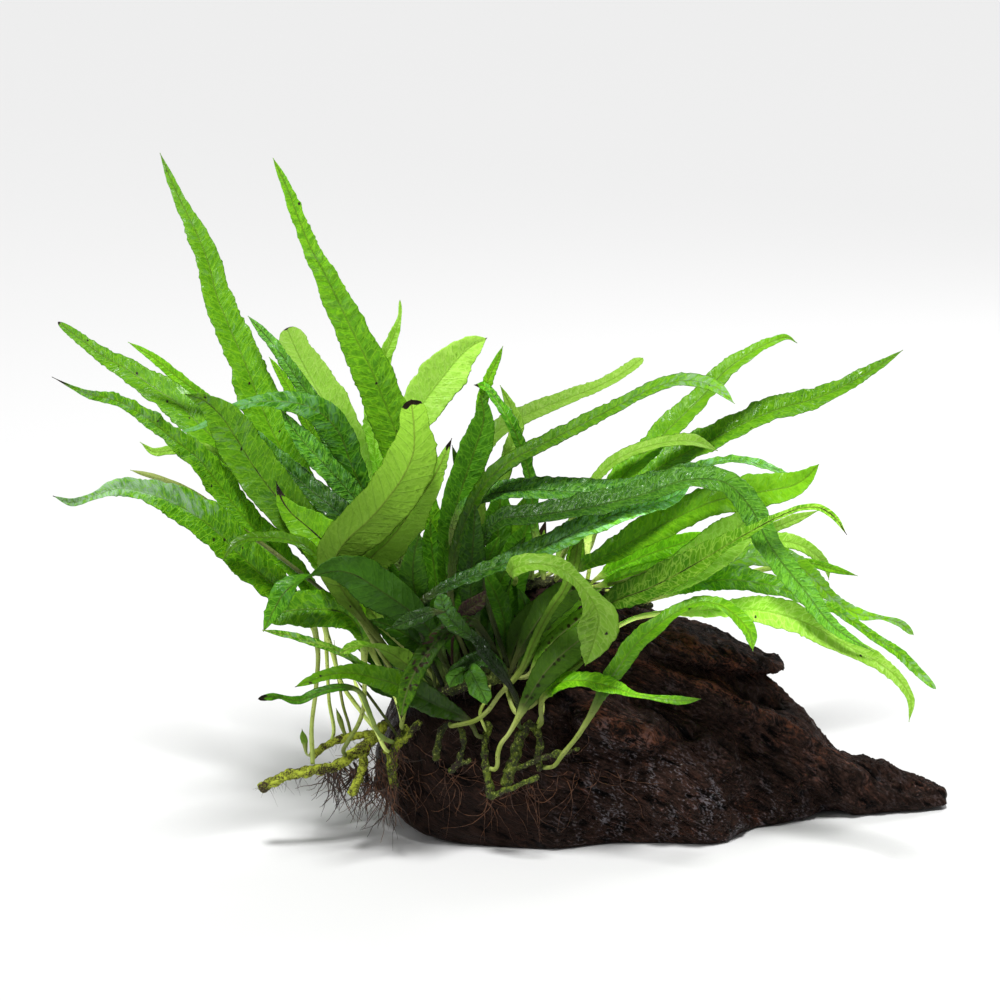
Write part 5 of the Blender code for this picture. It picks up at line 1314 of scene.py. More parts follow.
    def relief(self, grid: Grid) -> tuple[np.ndarray, np.ndarray]:
        """Work out the blade's ripples, bulges and wrinkles.

        Args:
            grid: The leaf's points.
        Returns:
            The height of each point, and the phase of its side veins.
        """
        along, aside = grid.along, grid.aside
        out = np.abs(grid.spread)
        phase = np.empty_like(aside)
        ripple = np.empty_like(aside)
        for side in (-1.0, 1.0):
            columns = grid.spread * side >= 0
            drift = 0.35 * wander(along / self.drift_size, self.seed + 1.7 * side)[:, None]
            slant = np.abs(aside[:, columns]) * self.vein_slant
            phase[:, columns] = (along[:, None] - slant) / VEIN_GAP + drift + 0.5 * (side > 0)
            swing = wander(along / self.ripple_sizes[0], self.seed + 11.0 * side)
            swing = swing + 0.6 * wander(along / self.ripple_sizes[1], self.seed + 5.0 * side)
            ripple[:, columns] = swing[:, None] * out[columns] ** 2.2
        dome = 0.5 - 0.5 * np.cos(2 * np.pi * phase)
        cross = 0.75 + 0.25 * np.cos(np.abs(aside) / self.cross_size * 2 * np.pi + self.seed)
        bulge = dome * cross * smoothstep(out, 0.05, 0.3) * (1.0 - out**4)
        size = np.minimum(1.0, grid.halves / self.full_half)[:, None]
        lengths = np.broadcast_to(along[:, None], aside.shape)
        spots = np.stack((lengths, aside * 1.4, np.full(aside.shape, self.seed * 0.01)), axis=-1)
        crease = field_noise(spots.reshape(-1, 3), self.crease_size).reshape(aside.shape)
        height = self.look.wave * ripple * size + self.look.quilt * self.quilting * bulge * size
        height = height + self.look.wrinkle * crease * smoothstep(out, 0.0, 0.2) * size
        return height * MM * grid.blade[:, None], phase

    def skins(self, grid: Grid, depths: np.ndarray, bend: np.ndarray) -> tuple[np.ndarray, np.ndarray]:
        """Work out the two skins' heights over the midrib.

        Args:
            grid: The leaf's points.
            depths: Half the stalk's thickness in each row.
            bend: The height of each point's ripples, bulges and wrinkles.
        Returns:
            The heights of the upper and of the lower skin.
        """
        aside, blade = grid.aside, grid.blade[:, None]
        rounded = np.sqrt(np.clip(1.0 - grid.spread**2, 0.0, 1.0))[None, :]
        stalk = depths[:, None] * rounded
        rise = np.sqrt(aside**2 + self.fold_round**2) - self.fold_round
        surface = bend + rise * self.sections.fold * blade
        sheet = self.sheet_mm * MM * rounded**0.5
        near = np.exp(-((aside / self.rib_width) ** 2))
        near = near * np.minimum(1.0, grid.halves / self.full_rib)[:, None]
        rib = self.rib_mm * MM * near * (1.0 - 0.75 * grid.share[:, None])
        upper = surface + (1 - blade) * stalk + blade * (sheet - 0.35 * rib)
        lower = surface - (1 - blade) * stalk - blade * (sheet + rib)
        return upper, lower

    def marks(self, grid: Grid) -> np.ndarray:
        """Say how brown each point is.

        Args:
            grid: The leaf's points.
        Returns:
            For each point a value from 0 to 1.
        """
        along, aside, blade = grid.along, grid.aside, grid.blade[:, None]
        brown = np.zeros_like(aside)
        if self.look.brown:
            from_tip = (along[-1] - along) / MM
            reach = self.look.brown * (1.0 + 0.4 * wander(grid.spread * 1.5, self.seed))[None, :]
            brown = np.maximum(brown, 1.0 - smoothstep(from_tip[:, None] / reach, 0.45, 1.1))
        if self.look.rib:
            line = np.exp(-((aside / self.stain_width) ** 2)) * blade
            uneven = 0.8 + 0.3 * wander(along / self.stain_size, self.seed)
            brown = np.maximum(brown, self.look.rib * line * uneven[:, None])
        draw = np.random.default_rng(int(self.seed * 1000) + 5)
        for _ in range(self.look.spots):
            row = along[-1] * draw.uniform(0.35, 0.97)
            column = draw.uniform(-0.85, 0.85) * float(np.interp(row, along, np.abs(aside[:, -1])))
            size = draw.uniform(0.32, 0.62) * MM
            away = ((along[:, None] - row) / (1.3 * size)) ** 2 + ((aside - column) / size) ** 2
            brown = np.maximum(brown, np.exp(-away) * blade)
        return brown

    def shell(self, points: np.ndarray, count: int, around: int) -> bpy.types.Object:
        """Close the rings into a shell with a cap at each end.

        Args:
            points: The rings' points, ring after ring.
            count: How many rings there are.
            around: How many points a ring has.
        Returns:
            The object.
        """
        ring = np.arange(count - 1)[:, None] * around
        here = ring + np.arange(around)
        beside = ring + (np.arange(around) + 1) % around
        quads = np.stack((here, here + around, beside + around, beside), axis=-1).reshape(-1, 4)
        ends = (tuple(range(around)), tuple(range(count * around - 1, (count - 1) * around - 1, -1)))
        faces = [tuple(int(corner) for corner in quad) for quad in quads]
        faces.extend(ends)
        return new_object(self.name, points, faces)


@dataclass
class Foliage:
    """All fronds that have a solid, each dressed in its own mesh.

    Args:
        nodes: The frame's solids.
        looks: How each frond looks, by its name without frond.
        slots: Each solid's slot; not used.
        seeds: How far apart the fronds' seeds are, and the first of them.
        materials: The leaf finishes' materials, made on first use.
    """

    nodes: dict
    looks: dict[str, Look]
    slots: dict[str, str]
    seeds: tuple[float, float] = (1.37, 0.61)
    materials: dict[Leaf, bpy.types.Material] = field(default_factory=dict)

    def finish(self, kind: Leaf) -> bpy.types.Material:
        """Find a leaf finish's material, and make it the first time.

        Args:
            kind: The kind of leaf.
        Returns:
            Its material.
        """
        if kind not in self.materials:
            self.materials[kind] = kind.value.material()
        return self.materials[kind]

    def build(self) -> None:
        """Dress every frond."""
        for number, (name, look) in enumerate(self.looks.items()):
            node = f"frond_{name}"
            seed = self.seeds[0] * number + self.seeds[1]
            made = Blade(f"leaf_{name}", Sections.of_node(self.nodes[node]), look, seed).build()
            hand_over(made, self.finish(look.kind), node)


@dataclass
class Sprigs:
    """The small leaves that have no solid.

    Args:
        eye: The picture's eye.
        nodes: The frame's solids.
        foliage: The fronds, whose finishes these leaves share.
        seeds: How far apart the leaves' seeds are, and the first of them.
        sink_mm: How deep a leaf's foot goes into what carries it.
    """

    eye: Eye
    nodes: dict
    foliage: Foliage
    seeds: tuple[float, float] = (2.11, 70.3)
    sink_mm: float = 0.4

    def build(self, sprigs: tuple[Sprig, ...]) -> None:
        """Grow the small leaves.

        Args:
            sprigs: The leaves.
        """
        for number, sprig in enumerate(sprigs):
            skin = skin_of(self.nodes[sprig.carrier])
            foot, normal, _, _ = skin.find_nearest(Vector(self.eye.point(*sprig.foot)))
            start = np.array(foot - normal * self.sink_mm * MM)
            sections = Sections.of_sprig(self.eye, start, sprig)
            seed = self.seeds[0] * number + self.seeds[1]
            made = Blade(f"small_{sprig.name}", sections, sprig.look, seed).build()
            hand_over(made, self.foliage.finish(sprig.look.kind))


# Wood, rhizomes and roots

def finer_copy(node: bpy.types.Object, name: str, cell: float, rounds: int) -> bpy.types.Object:
    """Copy a solid as a close, smoothed mesh.

    Args:
        node: The solid.
        name: The copy's name.
        cell: The size of its faces.
        rounds: How often it is smoothed.
    Returns:
        The copy.
    """
    made = bpy.data.objects.new(name, node.data.copy())
    bpy.context.scene.collection.objects.link(made)
    remesh = made.modifiers.new("close", "REMESH")
    remesh.mode = "VOXEL"
    remesh.voxel_size = cell
    smooth = made.modifiers.new("smooth", "SMOOTH")
    smooth.factor = 0.5
    smooth.iterations = rounds
    bpy.context.view_layer.update()
    close = bpy.data.meshes.new_from_object(made.evaluated_get(bpy.context.evaluated_depsgraph_get()))
    made.modifiers.clear()
    made.data = close
    close.materials.clear()
    close.shade_smooth()
    return made


@dataclass(frozen=True)
class WoodFinish:
    """Wet, near-black driftwood.

    Args:
        deep: The near-black of the hollows, which is painted shade there.
        brown: The colour of the faces.
        light: The colour of the painted highlight on the fibres and crests that stand out.
        red: The colour of the torn fibres.
        painted_glint: The colour of the painted glints: pale specks of reflected light drawn into the
            colour.
    """

    deep: Colour = (0.0018, 0.0012, 0.0011)
    brown: Colour = (0.0130, 0.0070, 0.0050)
    light: Colour = (0.0420, 0.0220, 0.0165)
    red: Colour = (0.125, 0.042, 0.020)
    painted_glint: Colour = (0.150, 0.140, 0.160)

    def material(self) -> bpy.types.Material:
        """Build the material.

        Returns:
            The material.
        """
        paint = Paint("driftwood")
        ridge, rusty, height = paint.attribute("grain")
        place = paint.object_place()
        x, y, _ = paint.split(place)
        along = paint.join(x * 0.22, y, height)
        fibres = paint.noise(along, 900.0, 4.0, 0.68)
        crumbs = paint.noise(paint.join(x * 0.5, y, height), 1500.0, 3.0, 0.65)
        patches = paint.noise(place, 60.0, 3.0)
        drips = paint.noise(paint.join(x, y, height * 0.35), 190.0, 2.0)
        torn = (fibres - 0.5) * 1.4 + (crumbs - 0.5) * 0.9
        # Painted shade: the hollows between the ridges are drawn near-black and the crests brown.
        share = (ridge * 0.7 + torn).rise(0.10, 0.75)
        colour = paint.mix(self.deep, self.brown, share)
        # Painted highlight: the fibres and crests that stand out are drawn lighter, as if lit.
        fibre_highlight = (torn + (patches - 0.5) * 0.6 + ridge * 0.3).rise(0.12, 0.42)
        colour = paint.mix(colour, self.light, fibre_highlight * x.rise(-0.035, 0.010, 0.30, 0.65))
        red = (rusty * 0.9 + ridge * 0.25 + torn * 1.3 + (patches - 0.5) * 0.8 - 0.50).rise(0.0, 0.55)
        colour = paint.mix(colour, self.red, red * 0.9)
        relief = fibres * 0.9 + crumbs * 0.9
        # Painted glints: pale specks of reflected light drawn into the colour of the lower right, where the
        # wood is wet; a thin coat lies on them too.
        glint_part = height.rise(0.035, 0.055, 1.0, 0.20) * x.rise(-0.022, 0.006)
        specks = crumbs * 0.75 + fibres * 0.25
        painted_glint = (specks + (drips - 0.5) * 0.5).rise(0.57, 0.62) * glint_part * (1.0 - rusty).most(0.0)
        colour = paint.mix(colour, self.painted_glint, painted_glint * 0.60)
        return paint.shade({
            "Base Color": colour,
            "Roughness": (drips + (crumbs - 0.5) * 0.5).rise(0.30, 0.70, 0.24, 0.60),
            "Specular IOR Level": 0.05,
            "Coat Weight": painted_glint * 0.5,
            "Coat Roughness": 0.14,
            "Normal": paint.bump(relief, 0.90, 1.0),
        })


@dataclass(frozen=True)
class Carving:
    """A ridge or a groove in the wood, along a line drawn in the picture.

    Args:
        line: Pixels right and down.
        wide: How far it reaches to each side, in pixels.
        height_mm: How far it stands out, or below 0 how deep it is.
        rusty: How reddish its fibres are.
    """

    line: tuple[tuple[float, float], ...]
    wide: float
    height_mm: float
    rusty: float = 0.0

    def weight(self, spots: np.ndarray) -> np.ndarray:
        """Say how strongly it acts at spots of the picture.

        Args:
            spots: Rows of pixels right and down.
        Returns:
            For each 0 to 1.
        """
        away = np.full(len(spots), np.inf)
        knots = np.array(self.line)
        for start, end in zip(knots[:-1], knots[1:]):
            run = end - start
            share = np.clip((spots - start) @ run / (run @ run), 0.0, 1.0)
            away = np.minimum(away, np.linalg.norm(spots - start - share[:, None] * run, axis=1))
        return np.exp(-((away / self.wide) ** 2))


CARVINGS = (
    Carving(((655, 658), (690, 672), (722, 684), (750, 696), (776, 706)), 7, -2.6),
    Carving(((613, 651), (664, 672), (715, 690), (746, 707)), 7, 1.5, 0.60),
    Carving(((746, 707), (785, 727), (824, 752), (863, 779)), 6, 1.5, 0.35),
    Carving(((600, 622), (640, 632), (690, 646), (745, 664)), 14, 0.3, 0.55),
    Carving(((700, 752), (716, 764), (722, 780)), 8, -2.6),
    Carving(((742, 742), (736, 770), (730, 790)), 6, -1.6),
    Carving(((590, 712), (612, 724), (645, 738)), 15, 1.7, 0.55),
    Carving(((585, 757), (625, 760), (660, 748), (695, 733)), 6, -2.2),
    Carving(((556, 694), (560, 712), (564, 730)), 9, -3.0, 0.2),
    Carving(((600, 700), (650, 702), (700, 716)), 5, -1.4),
    Carving(((735, 801), (748, 812), (760, 826)), 7, -3.0),
    Carving(((806, 782), (816, 795), (824, 810)), 7, -2.4),
    Carving(((838, 806), (852, 812)), 5, -2.0),
    Carving(((798, 748), (824, 768), (862, 781)), 3, 1.0),
    Carving(((805, 760), (830, 778), (860, 790)), 4, -1.2),
    Carving(((880, 775), (890, 781)), 4, -1.0),
    Carving(((907, 789), (912, 793)), 4, -1.4),
    Carving(((640, 770), (646, 800), (640, 830)), 7, -1.3),
    Carving(((680, 770), (690, 800), (700, 835)), 8, 1.2),
    Carving(((440, 760), (500, 790), (560, 800), (620, 812)), 8, -0.9),
)


@dataclass
class Driftwood:
    """The wood: its solid's form with carvings, torn fibres and crumbs.

    Args:
        node: The solid.
        finish: Its finish.
        eye: The picture's eye.
        carvings: The ridges and grooves that the picture shows.
        cell: The size of its faces.
        slope: How steeply the grain falls to the right at the middle.
        sag: How much steeper it falls for each metre to the right.
        lump_mm: The size of its lumps, and how far they stand out.
        ledge_mm: The distance between ledges, and how far they stand out.
        layers_mm: For each finer layer its width, and how far it stands out.
        grain_stretch: A fibre's width as a share of its length.
        bow_stretch: The same for the bends of the ledges.
        depth_stretch: The same for both on the way back into the wood.
        bow_mm: The size of those bends.
        shift_mm: How far back the wood goes on for its ledges to shift by one.
        slopes: Which shares of a ledge rise and fall.
        patch_mm: The size of the patches in which ledges show.
        rounds: How often its faces are smoothed.
        rough_from: Between which places to the right it grows rough.
        floor_rise: Between which heights above the floor it takes on its full roughness.
    """

    node: bpy.types.Object
    finish: WoodFinish
    eye: Eye
    carvings: tuple[Carving, ...] = CARVINGS
    cell: float = 0.74 * MM
    slope: float = 0.42
    sag: float = 3.4
    lump_mm: tuple[float, float] = (13.0, 1.2)
    ledge_mm: tuple[float, float] = (7.5, 0.9)
    layers_mm: tuple[tuple[float, float], ...] = ((4.2, 0.9), (2.1, 0.85), (1.1, 0.7))
    grain_stretch: float = 0.26
    bow_stretch: float = 0.35
    depth_stretch: float = 0.8
    bow_mm: float = 8.0
    shift_mm: float = 14.0
    slopes: tuple[float, float] = (0.82, 0.18)
    patch_mm: float = 10.0
    rounds: int = 18
    rough_from: tuple[float, float] = (-0.050, 0.005)
    floor_rise: tuple[float, float] = (0.0008, 0.005)

    def grain_height(self, points: np.ndarray) -> np.ndarray:
        """Measure how far points are above the line of grain through the wood's middle."""
        x = points[:, 0]
        return points[:, 2] + self.slope * x + 0.5 * self.sag * x * np.abs(x)

    def build(self) -> bpy.types.Object:
        """Build the wood.

        Returns:
            The wood.
        """
        made = finer_copy(self.node, "driftwood_bark", self.cell, self.rounds)
        points, normals = read_mesh(made)
        height = self.grain_height(points)
        rough_side = smoothstep(points[:, 0], *self.rough_from)
        above_floor = smoothstep(points[:, 2], *self.floor_rise)
        loose, grain = (
            np.column_stack((points[:, 0] * stretch, points[:, 1] * self.depth_stretch, height))
            for stretch in (self.bow_stretch, self.grain_stretch))
        lumps = field_noise(points, self.lump_mm[0] * MM, 4.0)
        bow = field_noise(loose, self.bow_mm * MM, 9.0)
        level = height / (self.ledge_mm[0] * MM) + 1.3 * bow + points[:, 1] / (self.shift_mm * MM)
        saw = level - np.floor(level)
        ledge = np.where(saw < self.slopes[0], saw / self.slopes[0], (1.0 - saw) / self.slopes[1])
        patch = smoothstep(field_noise(points, self.patch_mm * MM, 21.0), -0.5, 0.5)
        ledges = (ledge - 0.6) * self.ledge_mm[1] * (0.15 + 0.85 * rough_side * patch)
        push = lumps * self.lump_mm[1] + ledges
        ridges = np.zeros(len(points))
        for number, (wide, out) in enumerate(self.layers_mm):
            layer = 0.72 - np.abs(field_noise(grain, wide * MM, 2.0 + 5.0 * number))
            push = push + layer * out * (0.30 + 0.70 * rough_side)
            ridges = ridges + layer * out
        rusty = np.zeros(len(points))
        shown = self.eye.pixels(points)
        facing = smoothstep(-normals @ self.eye.forward, 0.0, 0.35)
        for carving in self.carvings:
            weight = carving.weight(shown) * facing
            push = push + weight * carving.height_mm
            rusty = np.maximum(rusty, weight * carving.rusty)
        points = points + normals * (push * above_floor * MM)[:, None]
        points[:, 2] = np.maximum(points[:, 2], 0.0)
        write_points(made, points)
        crest = smoothstep(ridges, -0.5, 1.0)
        write_attribute(made, "grain", crest, np.maximum(rusty, 0.25 * rough_side * patch), height)
        hand_over(made, self.finish.material(), "driftwood")
        return made


@dataclass(frozen=True)
class RhizomeFinish:
    """Mossy, scaly rhizome.

    Args:
        name: The material's name.
        moss: The darker green.
        fresh: The lighter green.
        scale: The colour of the scales.
        painted_highlight: The colour of the painted highlights: pale specks of light drawn on the scales.
    """

    name: str = "rhizome"
    moss: Colour = (0.028, 0.048, 0.003)
    fresh: Colour = (0.125, 0.175, 0.010)
    scale: Colour = (0.018, 0.010, 0.005)
    painted_highlight: Colour = (0.400, 0.440, 0.130)

    def material(self) -> bpy.types.Material:
        """Build the material.

        Returns:
            The material.
        """
        paint = Paint(self.name)
        place = paint.object_place()
        coarse = paint.noise(place, 230.0, 3.0)
        scales = paint.noise(place, 1900.0, 3.0, 0.7)
        rings = paint.noise(place, 900.0, 3.0, 0.6)
        colour = paint.mix(self.moss, self.fresh, (coarse + (rings - 0.5) * 1.4).rise(0.35, 0.65))
        # Painted highlights: pale specks of light drawn on the scales.
        colour = paint.mix(colour, self.painted_highlight, (scales + (rings - 0.5) * 0.5).rise(0.60, 0.72))
        colour = paint.mix(colour, self.scale, (scales + (coarse - 0.5) * 0.9).rise(0.46, 0.38))
        return paint.shade({
            "Base Color": colour,
            "Roughness": 0.60,
            "Specular IOR Level": 0.25,
            "Normal": paint.bump(scales + rings * 1.2, 0.7, 1.0),
        })


# Lit and shaded copies of the rhizome finish: rhizomes in the light are drawn lighter, those in the crown's
# shade darker, each with its own green too.
LIT_AND_SHADED_MOSS = {
    "rhizome_left": RhizomeFinish("rhizome_lit", (0.220, 0.255, 0.018), (0.470, 0.550, 0.042),
        (0.040, 0.024, 0.010)),
    "rhizome_over_front": RhizomeFinish("rhizome_shaded", (0.014, 0.023, 0.002), (0.055, 0.080, 0.006)),
    "rhizome_over_top": RhizomeFinish("rhizome_top", (0.020, 0.020, 0.010), (0.052, 0.056, 0.018)),
    "rhizome_front_left": RhizomeFinish("rhizome_half_shade", (0.012, 0.021, 0.002), (0.065, 0.090, 0.005)),
    "rhizome_front_right": RhizomeFinish("rhizome_dim", (0.020, 0.034, 0.002), (0.090, 0.125, 0.006)),
    "rhizome_forked": RhizomeFinish("rhizome_lit_fresh", (0.064, 0.094, 0.005), (0.265, 0.330, 0.018)),
}


@dataclass(frozen=True)
class HairFinish:
    """Brown hair roots.

    Args:
        name: The material's name.
        dark: Their darker brown.
        light: Their lighter brown.
    """

    name: str
    dark: Colour
    light: Colour

    def material(self) -> bpy.types.Material:
        """Build the material.

        Returns:
            The material.
        """
        paint = Paint(self.name)
        tone = paint.noise(paint.object_place(), 420.0, 2.0)
        return paint.shade({
            "Base Color": paint.mix(self.dark, self.light, tone.rise(0.3, 0.7)),
            "Roughness": 0.5,
        })


DARK_HAIR = HairFinish("root_dark", (0.010, 0.005, 0.003), (0.060, 0.022, 0.009))
RUST_HAIR = HairFinish("root_rust", (0.045, 0.015, 0.005), (0.170, 0.066, 0.024))


@dataclass
class Strands:
    """Thin tapered strands of three sides, gathered into one mesh.

    Args:
        name: The piece's name.
        lines: The strands' lines, each rows of points.
        thick: How thick each strand is at its start.
        end: How thick it is at its end, as a share of that.
        steep: From which upward share on a strand counts as upright.
    """

    name: str
    lines: list[np.ndarray] = field(default_factory=list)
    thick: list[float] = field(default_factory=list)
    end: float = 0.25
    steep: float = 0.8

    def add(self, line: np.ndarray, thick: float) -> None:
        """Add a strand."""
        self.lines.append(line)
        self.thick.append(thick)

    def build(self) -> bpy.types.Object:
        """Build the mesh.

        Returns:
            Its object.
        """
        points: list[np.ndarray] = []
        faces: list[tuple[int, ...]] = []
        turns = np.array((0.0, 2.0, 4.0)) * np.pi / 3
        for line, thick in zip(self.lines, self.thick):
            first = sum(len(part) for part in points)
            heading = unit(np.gradient(line, axis=0))
            upright = np.abs(heading[:, 2:]) > self.steep
            side = unit(np.cross(heading, np.where(upright, (1.0, 0.0, 0.0), (0.0, 0.0, 1.0))))
            over = np.cross(side, heading)
            radius = thick / 2 * np.linspace(1.0, self.end, len(line))
            ring = side[:, None] * np.cos(turns)[:, None] + over[:, None] * np.sin(turns)[:, None]
            points.append((line[:, None] + ring * radius[:, None, None]).reshape(-1, 3))
            for row in range(len(line) - 1):
                here = first + row * 3
                for corner in range(3):
                    beside = (corner + 1) % 3
                    faces.append((here + corner, here + beside, here + 3 + beside, here + 3 + corner))
            last = first + 3 * (len(line) - 1)
            faces.append((first + 2, first + 1, first))
            faces.append((last, last + 1, last + 2))
        return new_object(self.name, np.concatenate(points), faces)


@dataclass
class Rhizomes:
    """The creeping rhizomes with their scales and hairs.

    Args:
        nodes: The frame's solids.
        finish: The rhizomes' finish.
        lit_and_shaded_finishes: Lit and shaded copies of the finish, for the rhizomes that lie in more light
            or in
        deeper shade, each with its own green too, by name.
        hair: The finish of their hairs.
        cell: The size of their faces.
        rounds: How often their faces are smoothed.
        lumps_mm: For each layer of lumps their size, how far they stand out, and their shift.
        counts: The least and the most hairs on a rhizome.
        points_each: How many of its skin's points there are for a hair.
        reach_mm: How long its hairs are.
        thick_mm: How thick they are.
    """

    nodes: dict
    finish: RhizomeFinish
    lit_and_shaded_finishes: dict[str, RhizomeFinish]
    hair: HairFinish
    cell: float = 0.42 * MM
    rounds: int = 6
    lumps_mm: tuple[tuple[float, float, float], ...] = ((2.6, 0.45, 3.0), (1.0, 0.22, 5.0))
    counts: tuple[int, int] = (50, 160)
    points_each: int = 70
    reach_mm: tuple[float, float] = (1.0, 4.5)
    thick_mm: tuple[float, float] = (0.12, 0.26)

    def build(self) -> None:
        """Dress every rhizome."""
        skins = {name: finish.material() for name, finish in self.lit_and_shaded_finishes.items()}
        skin = self.finish.material()
        hair = self.hair.material()
        for name in sorted(node for node in self.nodes if node.startswith("rhizome")):
            made = finer_copy(self.nodes[name], f"scaly_{name}", self.cell, self.rounds)
            points, normals = read_mesh(made)
            push = sum(out * field_noise(points, size * MM, shift) for size, out, shift in self.lumps_mm)
            write_points(made, points + normals * (push * MM)[:, None])
            hand_over(made, skins.get(name, skin), name)
            hand_over(self.hairs(name, points, normals), hair)

    def hairs(self, name: str, points: np.ndarray, normals: np.ndarray) -> bpy.types.Object:
        """Grow short hairs out of a rhizome, most of them from below.

        Args:
            name: The rhizome's name.
            points: Its skin's points.
            normals: Its skin's normals.
        Returns:
            The hairs.
        """
        draw = np.random.default_rng(sum(map(ord, name)))
        weight = np.clip(0.6 - normals[:, 2], 0.05, 1.6)
        count = int(np.clip(len(points) // self.points_each, *self.counts))
        strands = Strands(f"hairs_{name}")
        for index in draw.choice(len(points), count, p=weight / weight.sum()):
            reach = draw.uniform(*self.reach_mm) * MM
            way = unit(normals[index] + draw.normal(0, 0.5, 3) + np.array((0.0, 0.0, -0.4)))
            steps = np.linspace(-0.1, 1.0, 5)[:, None]
            bend = draw.normal(0, 0.25, 3) * reach
            line = points[index] + way * reach * steps + bend * steps**2
            line = line - np.array((0, 0, 0.25)) * reach * steps**2
            line[:, 2] = np.maximum(line[:, 2], 0.2 * MM)
            strands.add(line, draw.uniform(*self.thick_mm) * MM)
        return strands.build()


@dataclass
class HairRoots:
    """The hair roots: a tuft that hangs free on the left, and threads that lie on the wood.

    Args:
        eye: The picture's eye.
        skin: The wood's surface, to lay threads on.
        dark: The finish of most of the tuft.
        light: The finish of the rest and of the threads.
        seed: What they are drawn from.
        starts: Where the threads on the wood start, in pixels right and down.
        crown: The line that the tuft hangs from, in pixels right and down, and mm back.
        fans: Where further bundles hang from.
        counts: How many hairs hang from the crown, how many from each fan, and how many threads there are.
        point_counts: How many points each of these has.
        least_points: How many points of a thread have to lie on the wood.
        tuft_mm: For a hair of the crown how long, and how thick it is.
        fan_mm: The same for a hair of a fan.
        thread_pixels: How long a thread is in the picture.
        thread_mm: How thick it is.
        lift_mm: How far it lies above the wood.
        least_height: How high above the floor it stays.
    """

    eye: Eye
    skin: BVHTree
    dark: HairFinish
    light: HairFinish
    seed: int = 7
    starts: tuple[tuple[float, float], ...] = (
        (400, 780), (440, 765), (455, 775), (485, 790), (492, 800), (520, 790), (530, 778), (560, 775),
        (572, 765), (600, 772), (470, 760), (415, 770))
    crown: tuple[tuple[float, float, float], ...] = (
        (326, 768, -14), (345, 768, -20), (362, 770, -22), (382, 775, -26), (394, 784, -30))
    fans: tuple[tuple[float, float, float], ...] = (
        (391, 788, -40), (372, 786, -34), (368, 750, -26), (378, 762, -32), (396, 752, -38), (388, 740, -34))
    counts: tuple[int, int, int] = (125, 16, 64)
    point_counts: tuple[int, int, int] = (16, 14, 20)
    least_points: int = 8
    tuft_mm: tuple[tuple[float, float], ...] = ((7.0, 18.0), (0.40, 0.74))
    fan_mm: tuple[tuple[float, float], ...] = ((6.0, 17.0), (0.30, 0.52))
    thread_pixels: tuple[float, float] = (18, 78)
    thread_mm: tuple[float, float] = (0.26, 0.46)
    lift_mm: float = 0.2
    least_height: float = 0.0015

    def build(self) -> None:
        """Grow the roots."""
        draw = np.random.default_rng(self.seed)
        tuft = Strands("tuft_of_roots")
        pale = Strands("rust_roots")
        crown = np.array([self.eye.point(*row) for row in self.crown])
        for index in range(self.counts[0]):
            place = draw.uniform(0, len(crown) - 1)
            start = curve_rows(crown, np.arange(len(crown), dtype=float), np.array([place]))[0]
            start = start + draw.normal(0, 1.0, 3) * MM * np.array((2.0, 2.0, 1.5))
            reach = draw.uniform(*self.tuft_mm[0]) * MM * (1.0 + 0.5 * place / (len(crown) - 1))
            way = unit(np.array((draw.normal(0.15, 0.35), draw.normal(0.1, 0.3), -1.0)))
            line = self.wandering(draw, start, way, reach, self.point_counts[0], 0.17)
            (pale if index % 3 == 0 else tuft).add(line, draw.uniform(*self.tuft_mm[1]) * MM)
        for right, down, back_mm in self.fans:
            for number in range(self.counts[1]):
                start = self.eye.point(right, down, back_mm) + draw.normal(0, 1.0, 3) * MM
                way = unit(np.array((draw.normal(0.0, 0.5), draw.normal(-0.1, 0.2), -1.0)))
                reach = draw.uniform(*self.fan_mm[0]) * MM
                line = self.wandering(draw, start, way, reach, self.point_counts[1], 0.22)
                (pale if number % 2 else tuft).add(line, draw.uniform(*self.fan_mm[1]) * MM)
        hand_over(tuft.build(), self.dark.material(), "roots")
        hand_over(pale.build(), self.light.material())
        self.threads(draw)

    def wandering(self, draw: np.random.Generator, start: np.ndarray, way: np.ndarray, reach: float,
                  count: int, loose: float) -> np.ndarray:
        """Draw a line that wanders.

        Args:
            draw: Where the chances come from.
            start: The line's start.
            way: Where it sets off to.
            reach: Its length.
            count: How many points it has.
            loose: How much it turns at each point.
        Returns:
            Its points.
        """
        points = [start]
        for _ in range(count - 1):
            way = unit(way + draw.normal(0, loose, 3))
            step = points[-1] + way * reach / (count - 1)
            step[2] = max(step[2], 0.25 * MM)
            points.append(step)
        return np.array(points)

    def threads(self, draw: np.random.Generator) -> None:
        """Lay threads that fall from the short branches over the front of the wood.

        Args:
            draw: Where the chances come from.
        """
        strands = Strands("threads_on_wood")
        steps = self.point_counts[2]
        for number in range(self.counts[2]):
            right, down = self.starts[number % len(self.starts)]
            right += draw.normal(0, 7.0)
            down += draw.normal(0, 7.0)
            angle = draw.normal(math.pi / 2, 0.75)
            turn = draw.normal(0, 0.05)
            length = draw.uniform(*self.thread_pixels)
            line = []
            for _ in range(steps):
                angle += turn + draw.normal(0, 0.16)
                right += math.cos(angle) * length / steps
                down += math.sin(angle) * length / steps
                target = self.eye.point(right, down, 0.0)
                way = Vector(unit(target - self.eye.place))
                spot, normal, _, _ = self.skin.ray_cast(Vector(self.eye.place), way)
                if spot is not None and spot.y < 0 and spot.z > self.least_height:
                    line.append(np.array(spot) + np.array(normal) * self.lift_mm * MM)
            if len(line) >= self.least_points:
                strands.add(np.array(line), draw.uniform(*self.thread_mm) * MM)
        hand_over(strands.build(), self.light.material())


# The floor, the light and the camera

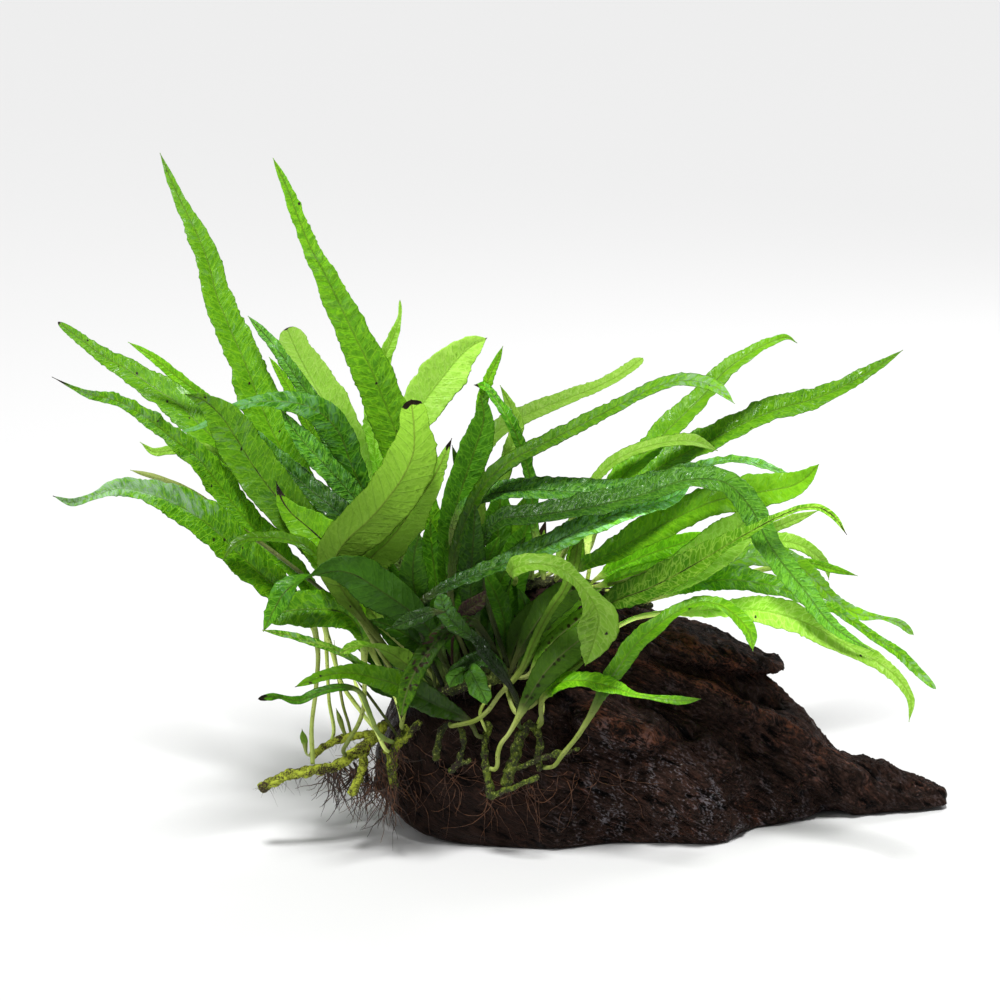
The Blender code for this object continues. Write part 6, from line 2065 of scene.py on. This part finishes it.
@dataclass(frozen=True)
class Studio:
    """A pale floor and soft white light.

    Args:
        eye: Where the picture is taken from.
        floor_size: The floor's width.
        floor_gap: How far the floor is below the wood, so that their faces don't mix.
        floor_tone: The floor's colour.
        sky: How bright the light from all sides is.
        sun_place: Where the overhead light comes from.
        sun_power: How strong it is.
        sun_spread_degrees: How soft it is.
        lamps: For each further lamp its name, place, size and power.
    """

    eye: Eye
    floor_size: float = 14.0
    floor_gap: float = 0.2 * MM
    floor_tone: Colour = (0.72, 0.72, 0.72)
    sky: float = 0.22
    sun_place: tuple[float, float, float] = (-0.10, -0.42, 1.10)
    sun_power: float = 3.6
    sun_spread_degrees: float = 12.0
    lamps: tuple = (
        ("front_left", (-0.70, -0.55, 0.60), 0.35, 2.6),
        ("behind_right", (0.55, 0.60, 0.70), 0.40, 3.0),
    )

    def build(self) -> None:
        """Set up the floor, the lamps, the sky and the camera."""
        self.floor()
        sun = bpy.data.lights.new("overhead", "SUN")
        sun.energy = self.sun_power
        sun.angle = math.radians(self.sun_spread_degrees)
        self.hang(sun, self.sun_place)
        for name, place, size, power in self.lamps:
            lamp = bpy.data.lights.new(name, "AREA")
            lamp.shape = "DISK"
            lamp.size = size
            lamp.energy = power
            self.hang(lamp, place)
        world = bpy.data.worlds.new("studio")
        world.use_nodes = True
        sky = world.node_tree.nodes["Background"]
        sky.inputs["Color"].default_value = (1.0, 1.0, 1.0, 1.0)
        sky.inputs["Strength"].default_value = self.sky
        bpy.context.scene.world = world
        bpy.context.scene.view_settings.view_transform = "Standard"
        self.eye.camera()

    def floor(self) -> None:
        """Lay the floor."""
        corners = np.array(((-1, -1, 0), (1, -1, 0), (1, 1, 0), (-1, 1, 0))) * self.floor_size / 2
        made = new_object("floor", corners, [(0, 1, 2, 3)])
        made.location.z = -self.floor_gap
        paint = Paint("floor")
        made.data.materials.append(paint.shade({"Base Color": (*self.floor_tone, 1.0), "Roughness": 0.7}))

    def hang(self, lamp: bpy.types.Light, place: tuple[float, float, float]) -> None:
        """Hang a lamp that shines at the plant.

        Args:
            lamp: The lamp.
            place: Where it hangs.
        """
        made = bpy.data.objects.new(lamp.name, lamp)
        made.location = place
        way = Vector(self.eye.aim) - Vector(place)
        made.rotation_euler = way.to_track_quat("-Z", "Y").to_euler()
        bpy.context.scene.collection.objects.link(made)


def main() -> None:
    """Build the studio and dress every solid."""
    logging.basicConfig(level=logging.INFO, format="%(name)s %(message)s")
    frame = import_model()
    slots = {part["node"]: part["material_slot"] for part in frame["record"]["subparts"]}
    eye = Eye()
    Studio(eye).build()
    wood = Driftwood(frame["nodes"]["driftwood"], WoodFinish(), eye).build()
    Rhizomes(frame["nodes"], RhizomeFinish(), LIT_AND_SHADED_MOSS, DARK_HAIR).build()
    HairRoots(eye, skin_of(wood), DARK_HAIR, RUST_HAIR).build()
    foliage = Foliage(frame["nodes"], LOOKS, slots)
    foliage.build()
    Sprigs(eye, frame["nodes"], foliage).build(SPRIGS)


if __name__ == "__main__":
    main()
